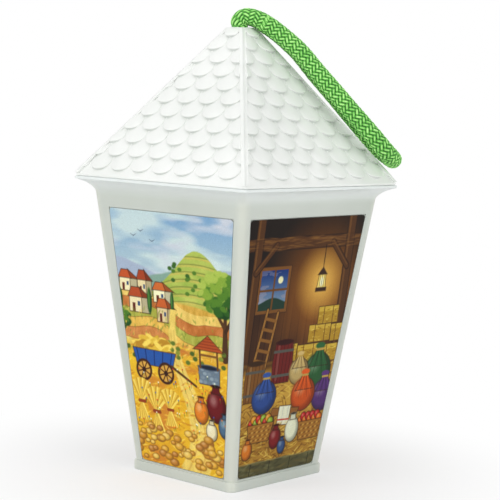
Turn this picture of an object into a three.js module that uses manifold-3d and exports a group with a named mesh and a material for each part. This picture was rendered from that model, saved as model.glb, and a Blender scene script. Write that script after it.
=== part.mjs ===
// A battery lantern on a rope: a square tapered body of milky plastic with four picture films,
// a hollow roof with scalloped tiles that plugs into the body's mouth, a loop of braided rope
// knotted inside the roof, and a base unit with three cells, a slide switch and one lamp.
// Millimetres, +Z up, the origin at the centre of the foot. The four walls face +X, -X, +Y and -Y.

import * as THREE from "three";
import { mergeVertices } from "three/addons/utils/BufferGeometryUtils.js";
import Module from "manifold-3d";

const wasm = await Module();
wasm.setup();

// Clearances
const seatGap = 0.3;
const insertGap = 0.4;
const runningGap = 0.3;
const holeGap = 0.2;

// Body
const footSide = 60;
const bandHeight = 4.3;
const bandStep = 0.65;
const bodyHeight = 132;
const wallTopSide = 90.5;
const bodyWall = 1.8;
const bodyCornerRadius = 3.5;
const bodyInnerRadius = 1.7;
const flangeReach = 5.5;
const flangeEdge = 1.2;
const flangeCornerRadius = 1.5;
const coveHeight = 8.5;

// Picture films and the shallow recesses that they lie in
const filmThickness = 0.3;
const filmTopDrop = 13.3;
const filmFootRise = 1.1;
const filmMarginTop = 5.2;
const filmMarginFoot = 4.6;
const filmCornerRadius = 1.6;
const filmEdgeGap = 0.3;

// Roof
const roofFootInset = 0.95;
const eaveInset = 0.8;
const fasciaHeight = 4.5;
const roofRise = 62.9;
const apexSide = 9.8;
const roofWall = 1.6;
const hipRelief = 0.9;
const apexReliefShare = 0.6;
const hipHalfWidth = 2;
const fasciaRadius = 1.2;
const ropeHoleSide = 8.4;
const webThickness = 1.6;
const skirtDepth = 6;
const skirtWall = 1.6;
const beadLength = 16;
const beadHeight = 1;
const beadProud = 0.25;
const beadDepth = 3.4;

// Roof tiles
const tileWidth = 12.86;
const tileGap = 1;
const tilePitch = 7.4;
const tileArcShare = 0.75;
const tileStep = 0.66;
const tileRun = 13.5;
const tileFootMargin = 1;
const tileSink = 0.5;
const tileArcSteps = 3;

// Base unit
const footRecess = 2.2;
const plateThickness = 1.8;
const plateCornerRadius = 2;
const bossAt = 22.6;
const bossReach = 3.3;
const bossHeight = 8;
const screwRadius = 1.25;
const screwHeadRadius = 2.4;
const screwHeadHeight = 1.3;
const screwBite = 6.2;
const screwDomeShare = 0.35;
const screwTopShare = 0.7;
const screwTipShare = 0.4;
const bayWall = 1.1;
const deckThickness = 1.5;

// Cells and contacts
const cellRadius = 5.25;
const cellLength = 44.5;
const cellNubRadius = 1.9;
const cellNubHeight = 0.8;
const cellSideGap = 0.8;
const cellCount = 3;
const contactSheet = 0.4;
const contactSide = 8.4;
const contactTabWidth = 2.4;
const contactTabRise = 2.2;
const springLength = 3;
const springWire = 0.5;
const springWideRadius = 3.4;
const springNarrowRadius = 2.1;
const springTurns = 2.25;

// Battery door
const doorThickness = 1.7;
const doorGap = 0.35;
const tongueAt = 14;
const tongueWidth = 8;
const tongueThickness = 1;
const tongueReach = 2.2;
const tongueRoot = 1.6;
const tongueWindowRise = 2.5;
const notchWidth = 12;
const notchDepth = 2.3;
const gripRibs = 5;
const gripRibPitch = 2;
const gripRibWidth = 0.9;
const gripRibLength = 14;
const gripRibHeight = 0.4;

// Slide switch
const switchLength = 8.6;
const switchWidth = 4.2;
const switchHeight = 4;
const switchWall = 0.6;
const switchTravel = 2.5;
const sliderLength = 2.2;
const sliderWidth = 1.5;
const sliderFootLength = 4;
const sliderFootWidth = 2.3;
const sliderFootHeight = 1;
const sliderDrop = 1.2;
const pinPitch = 2.5;
const pinSide = 0.6;
const pinRise = 2;
const ribThickness = 1;
const ribHeight = 3;

// Lamp
const boardLength = 20;
const boardWidth = 14;
const boardThickness = 1.6;
const boardRise = 2.7;
const postAt = 7.5;
const postRadius = 2.2;
const boardScrewRadius = 0.8;
const boardScrewHeadRadius = 1.7;
const boardScrewHeadHeight = 1.1;
const boardScrewBite = 2;
const lampRadius = 2.5;
const lampHeight = 8.2;
const lampFlangeRadius = 2.9;
const lampFlangeHeight = 1;
const leadPitch = 2.54;
const leadSide = 0.5;
const leadDrop = 1;
const resistorAt = 4.6;
const resistorRadius = 1.15;
const resistorLength = 6.3;
const resistorWaistShare = 0.85;
const resistorLeadRadius = 0.3;
const resistorSpan = 10.16;
const diffuserRadius = 14.8;
const diffuserWall = 1.2;
const diffuserHeight = 25;
const domeHeight = 13;
const collarWall = 1.2;
const collarHeight = 2.5;
const wireRadius = 0.6;
const wireNotchWidth = 3.2;
const wireNotchHeight = 3;
const switchWireX = -4;
const returnWireY = 4.2;
const wireOverPins = 1.4;

// Rope
const ropeDiameter = 8;
const knotRadius = 9.6;
const tailLength = 15;
const tailSpread = 5;
const tailRootShare = 0.5;
const ropeSides = 8;
const ropeSteps = 48;

// Curve steps
const cornerSteps = 4;
const coveSteps = 5;
const roundSides = 16;
const smallSides = 10;
const cupSides = 24;
const wireSides = 8;
const wireSteps = 16;
const springSides = 6;

// Heights and half sides that follow from the sizes above
const footHalf = footSide / 2;
const flangeSide = wallTopSide + 2 * flangeReach;
const roofFootSide = flangeSide - 2 * roofFootInset;
const eaveSide = roofFootSide - 2 * eaveInset;
const wallFootHalf = footHalf - bandStep;
const wallTopHalf = wallTopSide / 2;
const wallSlope = (wallTopHalf - wallFootHalf) / (bodyHeight - bandHeight);
const wallHalf = (z) => wallFootHalf + wallSlope * (z - bandHeight);
const innerHalf = (z) => wallHalf(z) - bodyWall;
const flangeHalf = flangeSide / 2;
const roofFootZ = bodyHeight + seatGap;
const eaveZ = roofFootZ + fasciaHeight;
const apexZ = eaveZ + roofRise;
const eaveHalf = eaveSide / 2;
const apexHalf = apexSide / 2;
const slabEaveHalf = eaveHalf - hipRelief;
const slabApexHalf = apexHalf - hipRelief * apexReliefShare;
const slabRun = slabEaveHalf - slabApexHalf;
const slabLength = Math.hypot(slabRun, roofRise);
const slabSlope = slabRun / roofRise;
const slabHalf = (z) => slabApexHalf + slabSlope * (apexZ - z);
const roofWallFlat = (roofWall * slabLength) / roofRise;
const cavityHalf = (z) => slabHalf(z) - roofWallFlat;
const plateHalf = innerHalf(0) - insertGap;
const plateTop = footRecess + plateThickness;
const cellPitch = 2 * cellRadius + cellSideGap;
const bayHalfLength = (cellLength + springLength + 4 * seatGap + 2 * contactSheet) / 2;
const bayHalfWidth = ((cellCount - 1) / 2) * cellPitch + cellRadius + cellSideGap;
const cellZ = plateTop + seatGap + cellRadius;
const deckZ = cellZ + cellRadius + seatGap;
const deckTop = deckZ + deckThickness;
const boardZ = deckTop + boardRise + seatGap;
const boardTop = boardZ + boardThickness;
const contactAt = bayHalfLength - seatGap - contactSheet / 2;
const cellPlusAt = contactAt - contactSheet / 2 - seatGap;

// Solids

function solid(geometry) {
  const bare = geometry.clone();
  for (const name of Object.keys(bare.attributes)) {
    if (name !== "position") {
      bare.deleteAttribute(name);
    }
  }
  const merged = mergeVertices(bare, 1e-4);
  const triVerts = new Uint32Array(merged.index.array);
  const vertProperties = new Float32Array(merged.attributes.position.array);
  const made = new wasm.Manifold(new wasm.Mesh({ numProp: 3, vertProperties, triVerts }));
  if (made.volume() >= 0) {
    return made;
  }
  for (let i = 0; i < triVerts.length; i += 3) {
    [triVerts[i + 1], triVerts[i + 2]] = [triVerts[i + 2], triVerts[i + 1]];
  }
  return new wasm.Manifold(new wasm.Mesh({ numProp: 3, vertProperties, triVerts }));
}

function geometryOf(made) {
  const mesh = made.getMesh();
  const geometry = new THREE.BufferGeometry();
  const points = new Float32Array(mesh.vertProperties);
  geometry.setAttribute("position", new THREE.BufferAttribute(points, mesh.numProp));
  geometry.setIndex(new THREE.BufferAttribute(new Uint32Array(mesh.triVerts), 1));
  const flat = geometry.toNonIndexed();
  flat.computeVertexNormals();
  return flat;
}

function joined(pieces) {
  return pieces.reduce((whole, piece) => whole.add(piece));
}

function box(x0, x1, y0, y1, z0, z1) {
  const geometry = new THREE.BoxGeometry(x1 - x0, y1 - y0, z1 - z0);
  geometry.translate((x0 + x1) / 2, (y0 + y1) / 2, (z0 + z1) / 2);
  return solid(geometry);
}

// A box that is as far from the Z axis on both sides, in X and in Y
function block(halfX, halfY, z0, z1) {
  return box(-halfX, halfX, -halfY, halfY, z0, z1);
}

// A round bar along Z
function bar(x, y, radius, z0, z1, sides = roundSides) {
  const geometry = new THREE.CylinderGeometry(radius, radius, z1 - z0, sides);
  geometry.rotateX(Math.PI / 2);
  geometry.translate(x, y, (z0 + z1) / 2);
  return solid(geometry);
}

// A turned piece: profile points are [radius, height], and the axis is Z
function turned(profile, sides = roundSides) {
  const points = profile.map(([radius, height]) => new THREE.Vector2(radius, height));
  const geometry = new THREE.LatheGeometry(points, sides);
  geometry.rotateX(Math.PI / 2);
  return geometry;
}

// Rings of equal count joined into a closed skin, with a flat fan at each end
function loft(rings) {
  const count = rings[0].length;
  const points = rings.flat();
  const faces = [];
  for (let ring = 0; ring + 1 < rings.length; ring += 1) {
    for (let i = 0; i < count; i += 1) {
      const a = ring * count + i;
      const b = ring * count + ((i + 1) % count);
      faces.push(a, b, b + count, a, b + count, a + count);
    }
  }
  for (const [ring, first] of [[rings[0], 0], [rings.at(-1), (rings.length - 1) * count]]) {
    const middle = new THREE.Vector3();
    ring.forEach((point) => middle.add(point));
    const hub = points.length;
    points.push(middle.divideScalar(count));
    for (let i = 0; i < count; i += 1) {
      const a = first + i;
      const b = first + ((i + 1) % count);
      faces.push(...(first === 0 ? [hub, b, a] : [hub, a, b]));
    }
  }
  const geometry = new THREE.BufferGeometry().setFromPoints(points);
  geometry.setIndex(faces);
  return solid(geometry);
}

// A square ring with round corners, lying flat at height z
function squareRing(half, radius, z) {
  const ring = [];
  for (let corner = 0; corner < 4; corner += 1) {
    for (let step = 0; step <= cornerSteps; step += 1) {
      const angle = (corner + step / cornerSteps) * (Math.PI / 2);
      const turn = (corner + 0.5) * (Math.PI / 2);
      const reach = (half - radius) * Math.SQRT2;
      const x = reach * Math.cos(turn) + radius * Math.cos(angle);
      const y = reach * Math.sin(turn) + radius * Math.sin(angle);
      ring.push(new THREE.Vector3(x, y, z));
    }
  }
  return ring;
}

// A square with sharp corners, lying flat at height z
function plainSquare(half, z) {
  return [[1, -1], [1, 1], [-1, 1], [-1, -1]].map(([x, y]) => new THREE.Vector3(x * half, y * half, z));
}

function polygon(radius, sides) {
  const points = [];
  for (let i = 0; i < sides; i += 1) {
    const angle = (i / sides) * 2 * Math.PI;
    points.push(new THREE.Vector2(radius * Math.cos(angle), radius * Math.sin(angle)));
  }
  return new THREE.Shape(points);
}

// A round tube along a curve, with closed ends
function tube(curve, radius, sides, steps) {
  const options = { extrudePath: curve, steps, bevelEnabled: false };
  return new THREE.ExtrudeGeometry(polygon(radius, sides), options);
}

function curveThrough(points) {
  const path = points.map((point) => new THREE.Vector3(...point));
  return new THREE.CatmullRomCurve3(path, false, "centripetal");
}

// Materials
const plain = (color, roughness, metalness = 0) =>
  new THREE.MeshStandardMaterial({ color, roughness, metalness });
const milky = plain(0xd4d9d0, 0.45);
const roofWhite = plain(0xeef1ec, 0.45);
const filmBlue = plain(0x8fa8b8, 0.35);
const filmBrown = plain(0x6b4a2e, 0.35);
const ropeGreen = plain(0x3aa832, 0.85);
const baseWhite = plain(0xe4e6e2, 0.5);
const frosted = plain(0xf4f2ea, 0.55);
const cellJacket = plain(0x3b4148, 0.35, 0.3);
const tinned = plain(0xc4c4c0, 0.3, 1);
const black = plain(0x1c1c1e, 0.5);
const boardGreen = plain(0x1f6a3c, 0.5);
const lens = plain(0xf6e9b8, 0.15);
const sand = plain(0xd6bd8c, 0.5);
const redWire = plain(0xb3201c, 0.45);
const blackWire = plain(0x161616, 0.45);

const lantern = new THREE.Group();
const baseUnit = new THREE.Group();
const lid = new THREE.Group();
lantern.add(baseUnit, lid);

function place(group, name, geometry, material) {
  const mesh = new THREE.Mesh(geometry, material);
  mesh.name = name;
  group.add(mesh);
  return mesh;
}

// Places a flat drawing (u across, v up the slope, w outwards) on the wall or roof face that
// looks towards -Y, and then turns it about Z by a number of quarter turns
function faceMatrix(half, z, slope, quarter) {
  const length = Math.hypot(slope, 1);
  const u = new THREE.Vector3(1, 0, 0);
  const v = new THREE.Vector3(0, slope / length, 1 / length);
  const w = new THREE.Vector3().crossVectors(u, v);
  const onFace = new THREE.Matrix4().makeBasis(u, v, w).setPosition(0, -half, z);
  return new THREE.Matrix4().makeRotationZ((quarter * Math.PI) / 2).multiply(onFace);
}

// Body shell: plinth band, drafted walls, cove and flange
function coveRings() {
  const foot = bodyHeight - flangeEdge - coveHeight;
  const rings = [];
  for (let step = 0; step <= coveSteps; step += 1) {
    const angle = (step / coveSteps) * (Math.PI / 2);
    const z = foot + coveHeight * Math.sin(angle);
    const start = wallHalf(foot);
    const half = flangeHalf - (flangeHalf - start) * Math.cos(angle);
    const share = step / coveSteps;
    const radius = bodyCornerRadius + (flangeCornerRadius - bodyCornerRadius) * share;
    rings.push(squareRing(half, radius, z));
  }
  return rings;
}

function filmOutline(grow) {
  const stretch = Math.hypot(wallSlope, 1);
  const footZ = bandHeight + filmFootRise;
  const topZ = bodyHeight - filmTopDrop;
  const footHalfWidth = wallHalf(footZ) - filmMarginFoot + grow;
  const topHalfWidth = wallHalf(topZ) - filmMarginTop + grow;
  const low = (footZ - bandHeight) * stretch - grow;
  const high = (topZ - bandHeight) * stretch + grow;
  const r = filmCornerRadius + grow;
  const lean = ((topHalfWidth - footHalfWidth) / (high - low)) * r;
  const shape = new THREE.Shape();
  shape.moveTo(-footHalfWidth + r, low);
  shape.lineTo(footHalfWidth - r, low);
  shape.quadraticCurveTo(footHalfWidth, low, footHalfWidth + lean, low + r);
  shape.lineTo(topHalfWidth - lean, high - r);
  shape.quadraticCurveTo(topHalfWidth, high, topHalfWidth - r, high);
  shape.lineTo(-topHalfWidth + r, high);
  shape.quadraticCurveTo(-topHalfWidth, high, -topHalfWidth + lean, high - r);
  shape.lineTo(-footHalfWidth - lean, low + r);
  shape.quadraticCurveTo(-footHalfWidth, low, -footHalfWidth + r, low);
  return shape;
}

function filmSlab(grow, back, front) {
  const options = { depth: front - back, bevelEnabled: false, curveSegments: cornerSteps };
  const geometry = new THREE.ExtrudeGeometry(filmOutline(grow), options);
  return geometry.translate(0, 0, back);
}

const sideNames = ["front", "right", "back", "left"];
const quarters = [...sideNames.keys()];
const wallMatrix = (quarter) => faceMatrix(wallFootHalf, bandHeight, -wallSlope, quarter);
const recessFloor = filmThickness + seatGap;
const past = 1;

function bodyShell() {
  let shell = loft([
    squareRing(footHalf, bodyCornerRadius, 0),
    squareRing(footHalf, bodyCornerRadius, bandHeight),
  ]);
  const wall = [squareRing(wallHalf(bandHeight - past), bodyCornerRadius, bandHeight - past)];
  wall.push(...coveRings(), squareRing(flangeHalf, flangeCornerRadius, bodyHeight));
  shell = shell.add(loft(wall));
  const hollow = loft([
    squareRing(innerHalf(-past), bodyInnerRadius, -past),
    squareRing(innerHalf(bodyHeight + past), bodyInnerRadius, bodyHeight + past),
  ]);
  shell = shell.subtract(hollow);
  const bossFoot = plateTop + seatGap;
  const bossOuter = wallFootHalf - bodyCornerRadius * (1 - Math.SQRT1_2) - seatGap;
  const bossInner = bossAt - bossReach;
  for (const x of [-1, 1]) {
    for (const y of [-1, 1]) {
      const sides = [x * bossInner, x * bossOuter, y * bossInner, y * bossOuter];
      const [x0, x1] = [Math.min(sides[0], sides[1]), Math.max(sides[0], sides[1])];
      const [y0, y1] = [Math.min(sides[2], sides[3]), Math.max(sides[2], sides[3])];
      shell = shell.add(box(x0, x1, y0, y1, bossFoot, bossFoot + bossHeight));
      const hole = screwRadius + holeGap;
      const depth = screwBite + 2 * seatGap;
      shell = shell.subtract(bar(x * bossAt, y * bossAt, hole, bossFoot - past, bossFoot + depth));
    }
  }
  for (const quarter of quarters) {
    const cut = filmSlab(filmEdgeGap, -recessFloor, past).applyMatrix4(wallMatrix(quarter));
    shell = shell.subtract(solid(cut));
    shell = shell.subtract(beadBar(beadProud + seatGap, seatGap, quarter));
  }
  return shell;
}

// The snap bead on the roof's skirt, and, with a margin, the groove for it in the body's wall
function beadBar(proud, margin, quarter) {
  const z = bodyHeight - beadDepth;
  const half = innerHalf(z) - insertGap;
  const high = beadHeight / 2 + margin;
  const long = beadLength / 2 + margin;
  const geometry = new THREE.BoxGeometry(2 * long, proud + skirtWall / 2, 2 * high);
  geometry.translate(0, -(half + proud / 2 - skirtWall / 4), z);
  geometry.rotateZ((quarter * Math.PI) / 2);
  return solid(geometry);
}

place(lantern, "body_shell", geometryOf(bodyShell()), milky);

const filmColours = [filmBlue, filmBrown, filmBlue, filmBrown];
for (const quarter of quarters) {
  const film = place(
    lantern,
    `picture_film_${sideNames[quarter]}`,
    filmSlab(0, -filmThickness, 0),
    filmColours[quarter],
  );
  film.applyMatrix4(wallMatrix(quarter));
}

// Roof: fascia, four tiled slabs, hip ridges, a web inside the eave and a skirt that plugs in
// One row of tiles: its lower edge is a run of arcs, and it thins out under the rows above
function tileRow(v, shift, widest) {
  const half = (tileWidth - tileGap) / 2;
  const deep = half * tileArcShare;
  const tiles = Math.ceil((widest - shift) / tileWidth);
  const first = shift ? -tiles : 1 - tiles;
  const count = shift ? 2 * tiles : 2 * tiles - 1;
  const start = first * tileWidth + (shift ? tileWidth / 2 : 0) - tileWidth / 2;
  const end = start + count * tileWidth;
  const shape = new THREE.Shape();
  shape.moveTo(start, v + tileRun);
  shape.lineTo(start, v + deep);
  for (let i = 0; i < count; i += 1) {
    const u = start + (i + 0.5) * tileWidth;
    shape.lineTo(u - half, v + deep);
    shape.absellipse(u, v + deep, half, deep, Math.PI, 2 * Math.PI, false);
  }
  shape.lineTo(end, v + deep);
  shape.lineTo(end, v + tileRun);
  const options = { depth: 1, bevelEnabled: false, curveSegments: tileArcSteps };
  const geometry = new THREE.ExtrudeGeometry(shape, options);
  const at = geometry.attributes.position;
  for (let i = 0; i < at.count; i += 1) {
    const thick = tileStep * (1 - (at.getY(i) - v) / tileRun);
    at.setZ(i, at.getZ(i) > 0.5 ? thick : -tileSink);
  }
  return geometry;
}

function tiledFace(quarter) {
  const matrix = faceMatrix(slabEaveHalf, eaveZ, slabSlope, quarter);
  const rows = [];
  const count = Math.floor((slabLength - tileFootMargin) / tilePitch);
  for (let row = 0; row < count; row += 1) {
    const v = tileFootMargin + row * tilePitch;
    const shift = row % 2 ? tileWidth / 2 : 0;
    const widest = slabEaveHalf - (slabRun / slabLength) * v;
    rows.push(solid(tileRow(v, shift, widest).applyMatrix4(matrix)));
  }
  return joined(rows);
}

function roofShell() {
  const slabs = loft([plainSquare(slabEaveHalf, eaveZ), plainSquare(slabApexHalf, apexZ)]);
  const limit = loft([plainSquare(eaveHalf, eaveZ), plainSquare(apexHalf, apexZ)]);
  let covered = slabs;
  for (const quarter of quarters) {
    covered = covered.add(tiledFace(quarter));
  }
  covered = covered.intersect(limit);
  for (const turn of [1, 3]) {
    const geometry = new THREE.BoxGeometry(4 * eaveHalf, 2 * hipHalfWidth, 4 * roofRise);
    geometry.rotateZ((turn * Math.PI) / 4);
    geometry.translate(0, 0, eaveZ);
    covered = covered.add(limit.intersect(solid(geometry)));
  }
  const fasciaTopCut = 0.02;
  const fascia = loft([
    squareRing(roofFootSide / 2, fasciaRadius, roofFootZ),
    squareRing(eaveHalf, fasciaTopCut, eaveZ),
  ]);
  const skirtFoot = roofFootZ - skirtDepth;
  const skirtHalf = (z) => innerHalf(z) - insertGap;
  const skirt = loft([
    squareRing(skirtHalf(skirtFoot), bodyInnerRadius, skirtFoot),
    squareRing(skirtHalf(roofFootZ + past), bodyInnerRadius, roofFootZ + past),
  ]);
  let roof = covered.add(fascia).add(skirt);
  for (const quarter of quarters) {
    roof = roof.add(beadBar(beadProud, 0, quarter));
  }
  const webTop = roofFootZ + webThickness;
  const skirtInner = (z) => skirtHalf(z) - skirtWall;
  const throat = loft([
    squareRing(skirtInner(skirtFoot - past), bodyInnerRadius, skirtFoot - past),
    squareRing(skirtInner(webTop + past), bodyInnerRadius, webTop + past),
  ]);
  const lowCavity = Math.min(slabEaveHalf, roofFootSide / 2) - roofWallFlat;
  const cavity = loft([
    plainSquare(lowCavity, webTop),
    plainSquare(lowCavity, eaveZ - seatGap),
    plainSquare(cavityHalf(apexZ - 2 * past), apexZ - 2 * past),
  ]);
  const hole = block(ropeHoleSide / 2, ropeHoleSide / 2, eaveZ, apexZ + past);
  return roof.subtract(throat).subtract(cavity).subtract(hole);
}

place(lid, "roof", geometryOf(roofShell()), roofWhite);

// Rope. Along is the level direction over the +X +Y corner, and across is level and square to it
const along = new THREE.Vector3(Math.SQRT1_2, Math.SQRT1_2, 0);
const across = new THREE.Vector3(-Math.SQRT1_2, Math.SQRT1_2, 0);
const overCorner = ([r, b, z]) => along.clone().multiplyScalar(r).addScaledVector(across, b).setZ(z);

// The rope's own points: distance over the corner, distance across, height
const handleRoute = [
  [9.1, -4.2, 202.5],
  [13.3, -4.4, 200.0],
  [17.0, -4.9, 197.3],
  [25.6, -6.5, 190.2],
  [33.3, -8.6, 181.6],
  [41.1, -10.8, 173.1],
  [48.9, -12.6, 164.6],
  [58.2, -13.2, 154.7],
  [63.7, -11.2, 148.9],
  [67.6, -6.2, 145.4],
  [70.1, 1.0, 143.5],
  [69.8, 8.4, 143.8],
  [66.6, 14.6, 146.5],
  [61.1, 16.6, 152.2],
  [50.9, 15.6, 163.2],
  [42.6, 13.2, 172.2],
  [34.2, 10.6, 181.0],
  [26.1, 7.8, 190.0],
  [17.3, 5.2, 197.3],
  [13.3, 4.4, 200.0],
  [9.1, 4.2, 202.5],
];
const handleCurve = curveThrough(handleRoute.map((point) => overCorner(point).toArray()));
place(lid, "rope_handle", tube(handleCurve, ropeDiameter / 2, ropeSides, ropeSteps), ropeGreen);

// The two strands squeezed together in the hole and bent over its rim: stations along the
// middle line, each with its place, its direction, its half width across, its half thickness,
// how square its outline is and how deep the crease between the strands is
const neckStations = [
  { r: 0, z: 193, turn: 90, wide: 4.7, thick: 4.7, power: 1.3, crease: 0 },
  { r: -0.2, z: 198, turn: 92, wide: 4.6, thick: 4.2, power: 1.3, crease: 0 },
  { r: -0.55, z: 199.8, turn: 98, wide: 4.5, thick: 3.6, power: 1.4, crease: 0 },
  { r: -1.4, z: 201.4, turn: 94, wide: 5.6, thick: 3.5, power: 1.8, crease: 0 },
  { r: -1.3, z: 202.8, turn: 68, wide: 6.6, thick: 3.5, power: 2.1, crease: 0.15 },
  { r: -0.3, z: 204, turn: 40, wide: 7.3, thick: 3.5, power: 2.2, crease: 0.3 },
  { r: 1.7, z: 204.7, turn: 6, wide: 7.9, thick: 3.6, power: 2.4, crease: 0.5 },
  { r: 4.6, z: 204.3, turn: -18, wide: 8.1, thick: 3.8, power: 2.6, crease: 0.6 },
  { r: 7, z: 203.5, turn: -26, wide: 8.1, thick: 3.9, power: 2.8, crease: 0.6 },
  { r: 8.75, z: 202.7, turn: -30.5, wide: 8.1, thick: 3.9, power: 2.8, crease: 0.6 },
];

function neckRing({ r, z, turn, wide, thick, power, crease }) {
  const heading = THREE.MathUtils.degToRad(turn);
  const up = new THREE.Vector3(0, 0, 1);
  const side = along.clone().multiplyScalar(-Math.sin(heading)).addScaledVector(up, Math.cos(heading));
  const ring = [];
  for (let i = 0; i < roundSides; i += 1) {
    const angle = (i / roundSides) * 2 * Math.PI;
    const [c, s] = [Math.cos(angle), Math.sin(angle)];
    const u = wide * Math.sign(c) * Math.abs(c) ** (2 / power);
    const pinch = 1 - crease * Math.max(0, 1 - (2 * Math.abs(u)) / wide);
    const v = pinch * thick * Math.sign(s) * Math.abs(s) ** (2 / power);
    ring.push(overCorner([r, 0, z]).addScaledVector(across, u).addScaledVector(side, v));
  }
  return ring;
}

place(lid, "rope_neck", geometryOf(loft(neckStations.map(neckRing))), ropeGreen);

// The knot lies up against the roof from inside, and its two tails hang from it
const faceCos = roofRise / slabLength;
const knotRoom = (knotRadius + seatGap) / faceCos + roofWallFlat - slabApexHalf;
const knotZ = apexZ - knotRoom / slabSlope;

function ropeKnot() {
  const ball = new THREE.SphereGeometry(knotRadius, roundSides, smallSides);
  ball.rotateX(Math.PI / 2);
  ball.translate(0, 0, knotZ);
  let knot = solid(ball);
  for (const side of [-1, 1]) {
    const at = overCorner([0, side * tailSpread, 0]);
    const low = knotZ - knotRadius * tailRootShare - tailLength;
    knot = knot.add(bar(at.x, at.y, ropeDiameter / 2, low, knotZ, smallSides));
  }
  const top = neckStations[0].z - seatGap;
  return knot.subtract(block(2 * knotRadius, 2 * knotRadius, top, top + 2 * knotRadius));
}

place(lid, "rope_knot", geometryOf(ropeKnot()), ropeGreen);

// Base housing: plate, cell bay, deck with lamp collar and posts
function bayOuter(z0, z1) {
  return block(bayHalfLength + bayWall, bayHalfWidth + bayWall, z0, z1);
}

const tabSlotHalf = contactTabWidth / 2 + seatGap;
const endSign = (cell) => (cell % 2 ? -1 : 1);
const cellY = (cell) => (cell - (cellCount - 1) / 2) * cellPitch;
const wireNotches = [
  { x: switchWireX, y: -diffuserRadius, turn: 0 },
  { x: -diffuserRadius, y: returnWireY, turn: 1 },
];

function notchCut({ x, y, turn }, z0, z1) {
  const half = wireNotchWidth / 2;
  const reach = diffuserWall + collarWall + 2 * seatGap;
  return turn
    ? box(x - reach, x + reach, y - half, y + half, z0, z1)
    : box(x - half, x + half, y - reach, y + reach, z0, z1);
}

function baseHousing() {
  let housing = loft([
    squareRing(plateHalf, plateCornerRadius, footRecess),
    squareRing(plateHalf, plateCornerRadius, plateTop),
  ]);
  housing = housing.add(bayOuter(plateTop - past, deckTop));
  housing = housing.subtract(block(bayHalfLength, bayHalfWidth, 0, deckZ));
  const collarInner = diffuserRadius + seatGap;
  const collarTop = deckTop + collarHeight;
  let collar = bar(0, 0, collarInner + collarWall, deckTop - seatGap, collarTop, 2 * roundSides);
  collar = collar.subtract(bar(0, 0, collarInner, 0, collarTop + past, 2 * roundSides));
  for (const notch of wireNotches) {
    collar = collar.subtract(notchCut(notch, deckTop, collarTop + past));
  }
  housing = housing.add(collar);
  for (const side of [-1, 1]) {
    const x = side * postAt;
    housing = housing.add(bar(x, 0, postRadius, deckTop - seatGap, deckTop + boardRise));
    const hole = boardScrewRadius + holeGap;
    housing = housing.subtract(bar(x, 0, hole, deckTop + seatGap, deckTop + boardRise + past));
    const window0 = side * tongueAt - tongueWidth / 2 - runningGap;
    const window1 = side * tongueAt + tongueWidth / 2 + runningGap;
    const outside = -bayHalfWidth - bayWall - past;
    const windowTop = plateTop + tongueWindowRise;
    housing = housing.subtract(box(window0, window1, outside, 0, plateTop, windowTop));
    for (const end of [-1, 1]) {
      const at = [side * bossAt, end * bossAt];
      housing = housing.subtract(bar(...at, screwRadius + 2 * holeGap, 0, plateTop + past));
    }
    const ribIn = switchLength / 2 + seatGap;
    const [rib0, rib1] = side > 0 ? [ribIn, ribIn + ribThickness] : [-ribIn - ribThickness, -ribIn];
    const [y0, y1] = [switchY - switchWidth / 2, switchY + switchWidth / 2];
    housing = housing.add(box(rib0, rib1, y0, y1, plateTop - seatGap, plateTop + ribHeight));
  }
  for (const cell of [0, cellCount - 1]) {
    const x = (cell ? -1 : 1) * contactAt;
    const thick = contactSheet / 2 + seatGap;
    const y = cellY(cell);
    housing = housing.subtract(
      box(x - thick, x + thick, y - tabSlotHalf, y + tabSlotHalf, deckZ - past, deckTop + past),
    );
  }
  const notchHalf = notchWidth / 2;
  const notchEnd = bayHalfWidth + notchDepth;
  housing = housing.subtract(box(-notchHalf, notchHalf, 0, notchEnd, 0, plateTop - seatGap));
  const slotX = (sliderLength + switchTravel) / 2 + runningGap;
  const slotY = sliderWidth / 2 + runningGap;
  return housing.subtract(
    box(-slotX, slotX, switchY - slotY, switchY + slotY, 0, plateTop + seatGap / 2),
  );
}

const switchY = -(bayHalfWidth + bayWall + plateHalf) / 2;
place(baseUnit, "base_housing", geometryOf(baseHousing()), baseWhite);

// A pan head screw with its tip up, and a cross recess left to the finish
function screwSolid(radius, headRadius, headHeight, length) {
  const dome = headHeight * screwDomeShare;
  return turned([
    [0, -headHeight],
    [headRadius * screwTopShare, -headHeight],
    [headRadius, -headHeight + dome],
    [headRadius, 0],
    [radius, 0],
    [radius, length - radius],
    [radius * screwTipShare, length],
    [0, length],
  ], smallSides);
}

const corners = [[1, -1], [1, 1], [-1, 1], [-1, -1]];
corners.forEach(([x, y], index) => {
  const length = plateThickness + 2 * seatGap + screwBite - seatGap;
  const geometry = screwSolid(screwRadius, screwHeadRadius, screwHeadHeight, length);
  const screw = place(baseUnit, `base_screw_${index + 1}`, geometry, tinned);
  screw.position.set(x * bossAt, y * bossAt, footRecess - seatGap);
});

// Battery door: a panel with two tongues that hook over the plate, and grip ribs below
function batteryDoor() {
  const edgeX = bayHalfLength - doorGap;
  const edgeY = bayHalfWidth - doorGap;
  const top = footRecess + doorThickness;
  let door = block(edgeX, edgeY, footRecess, top);
  const tongueZ = plateTop + seatGap;
  const tongueTop = tongueZ + tongueThickness;
  for (const side of [-1, 1]) {
    const x0 = side * tongueAt - tongueWidth / 2;
    const x1 = side * tongueAt + tongueWidth / 2;
    door = door.add(box(x0, x1, -edgeY, -edgeY + tongueRoot, top - past, tongueTop));
    const tip = -bayHalfWidth - tongueReach;
    door = door.add(box(x0, x1, tip, -edgeY + tongueRoot / 2, tongueZ, tongueTop));
  }
  for (let rib = 0; rib < gripRibs; rib += 1) {
    const y = edgeY - (rib + 1) * gripRibPitch;
    const half = gripRibLength / 2;
    const bottom = footRecess - gripRibHeight;
    door = door.add(box(-half, half, y - gripRibWidth / 2, y + gripRibWidth / 2, bottom, top));
  }
  return door;
}

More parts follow.
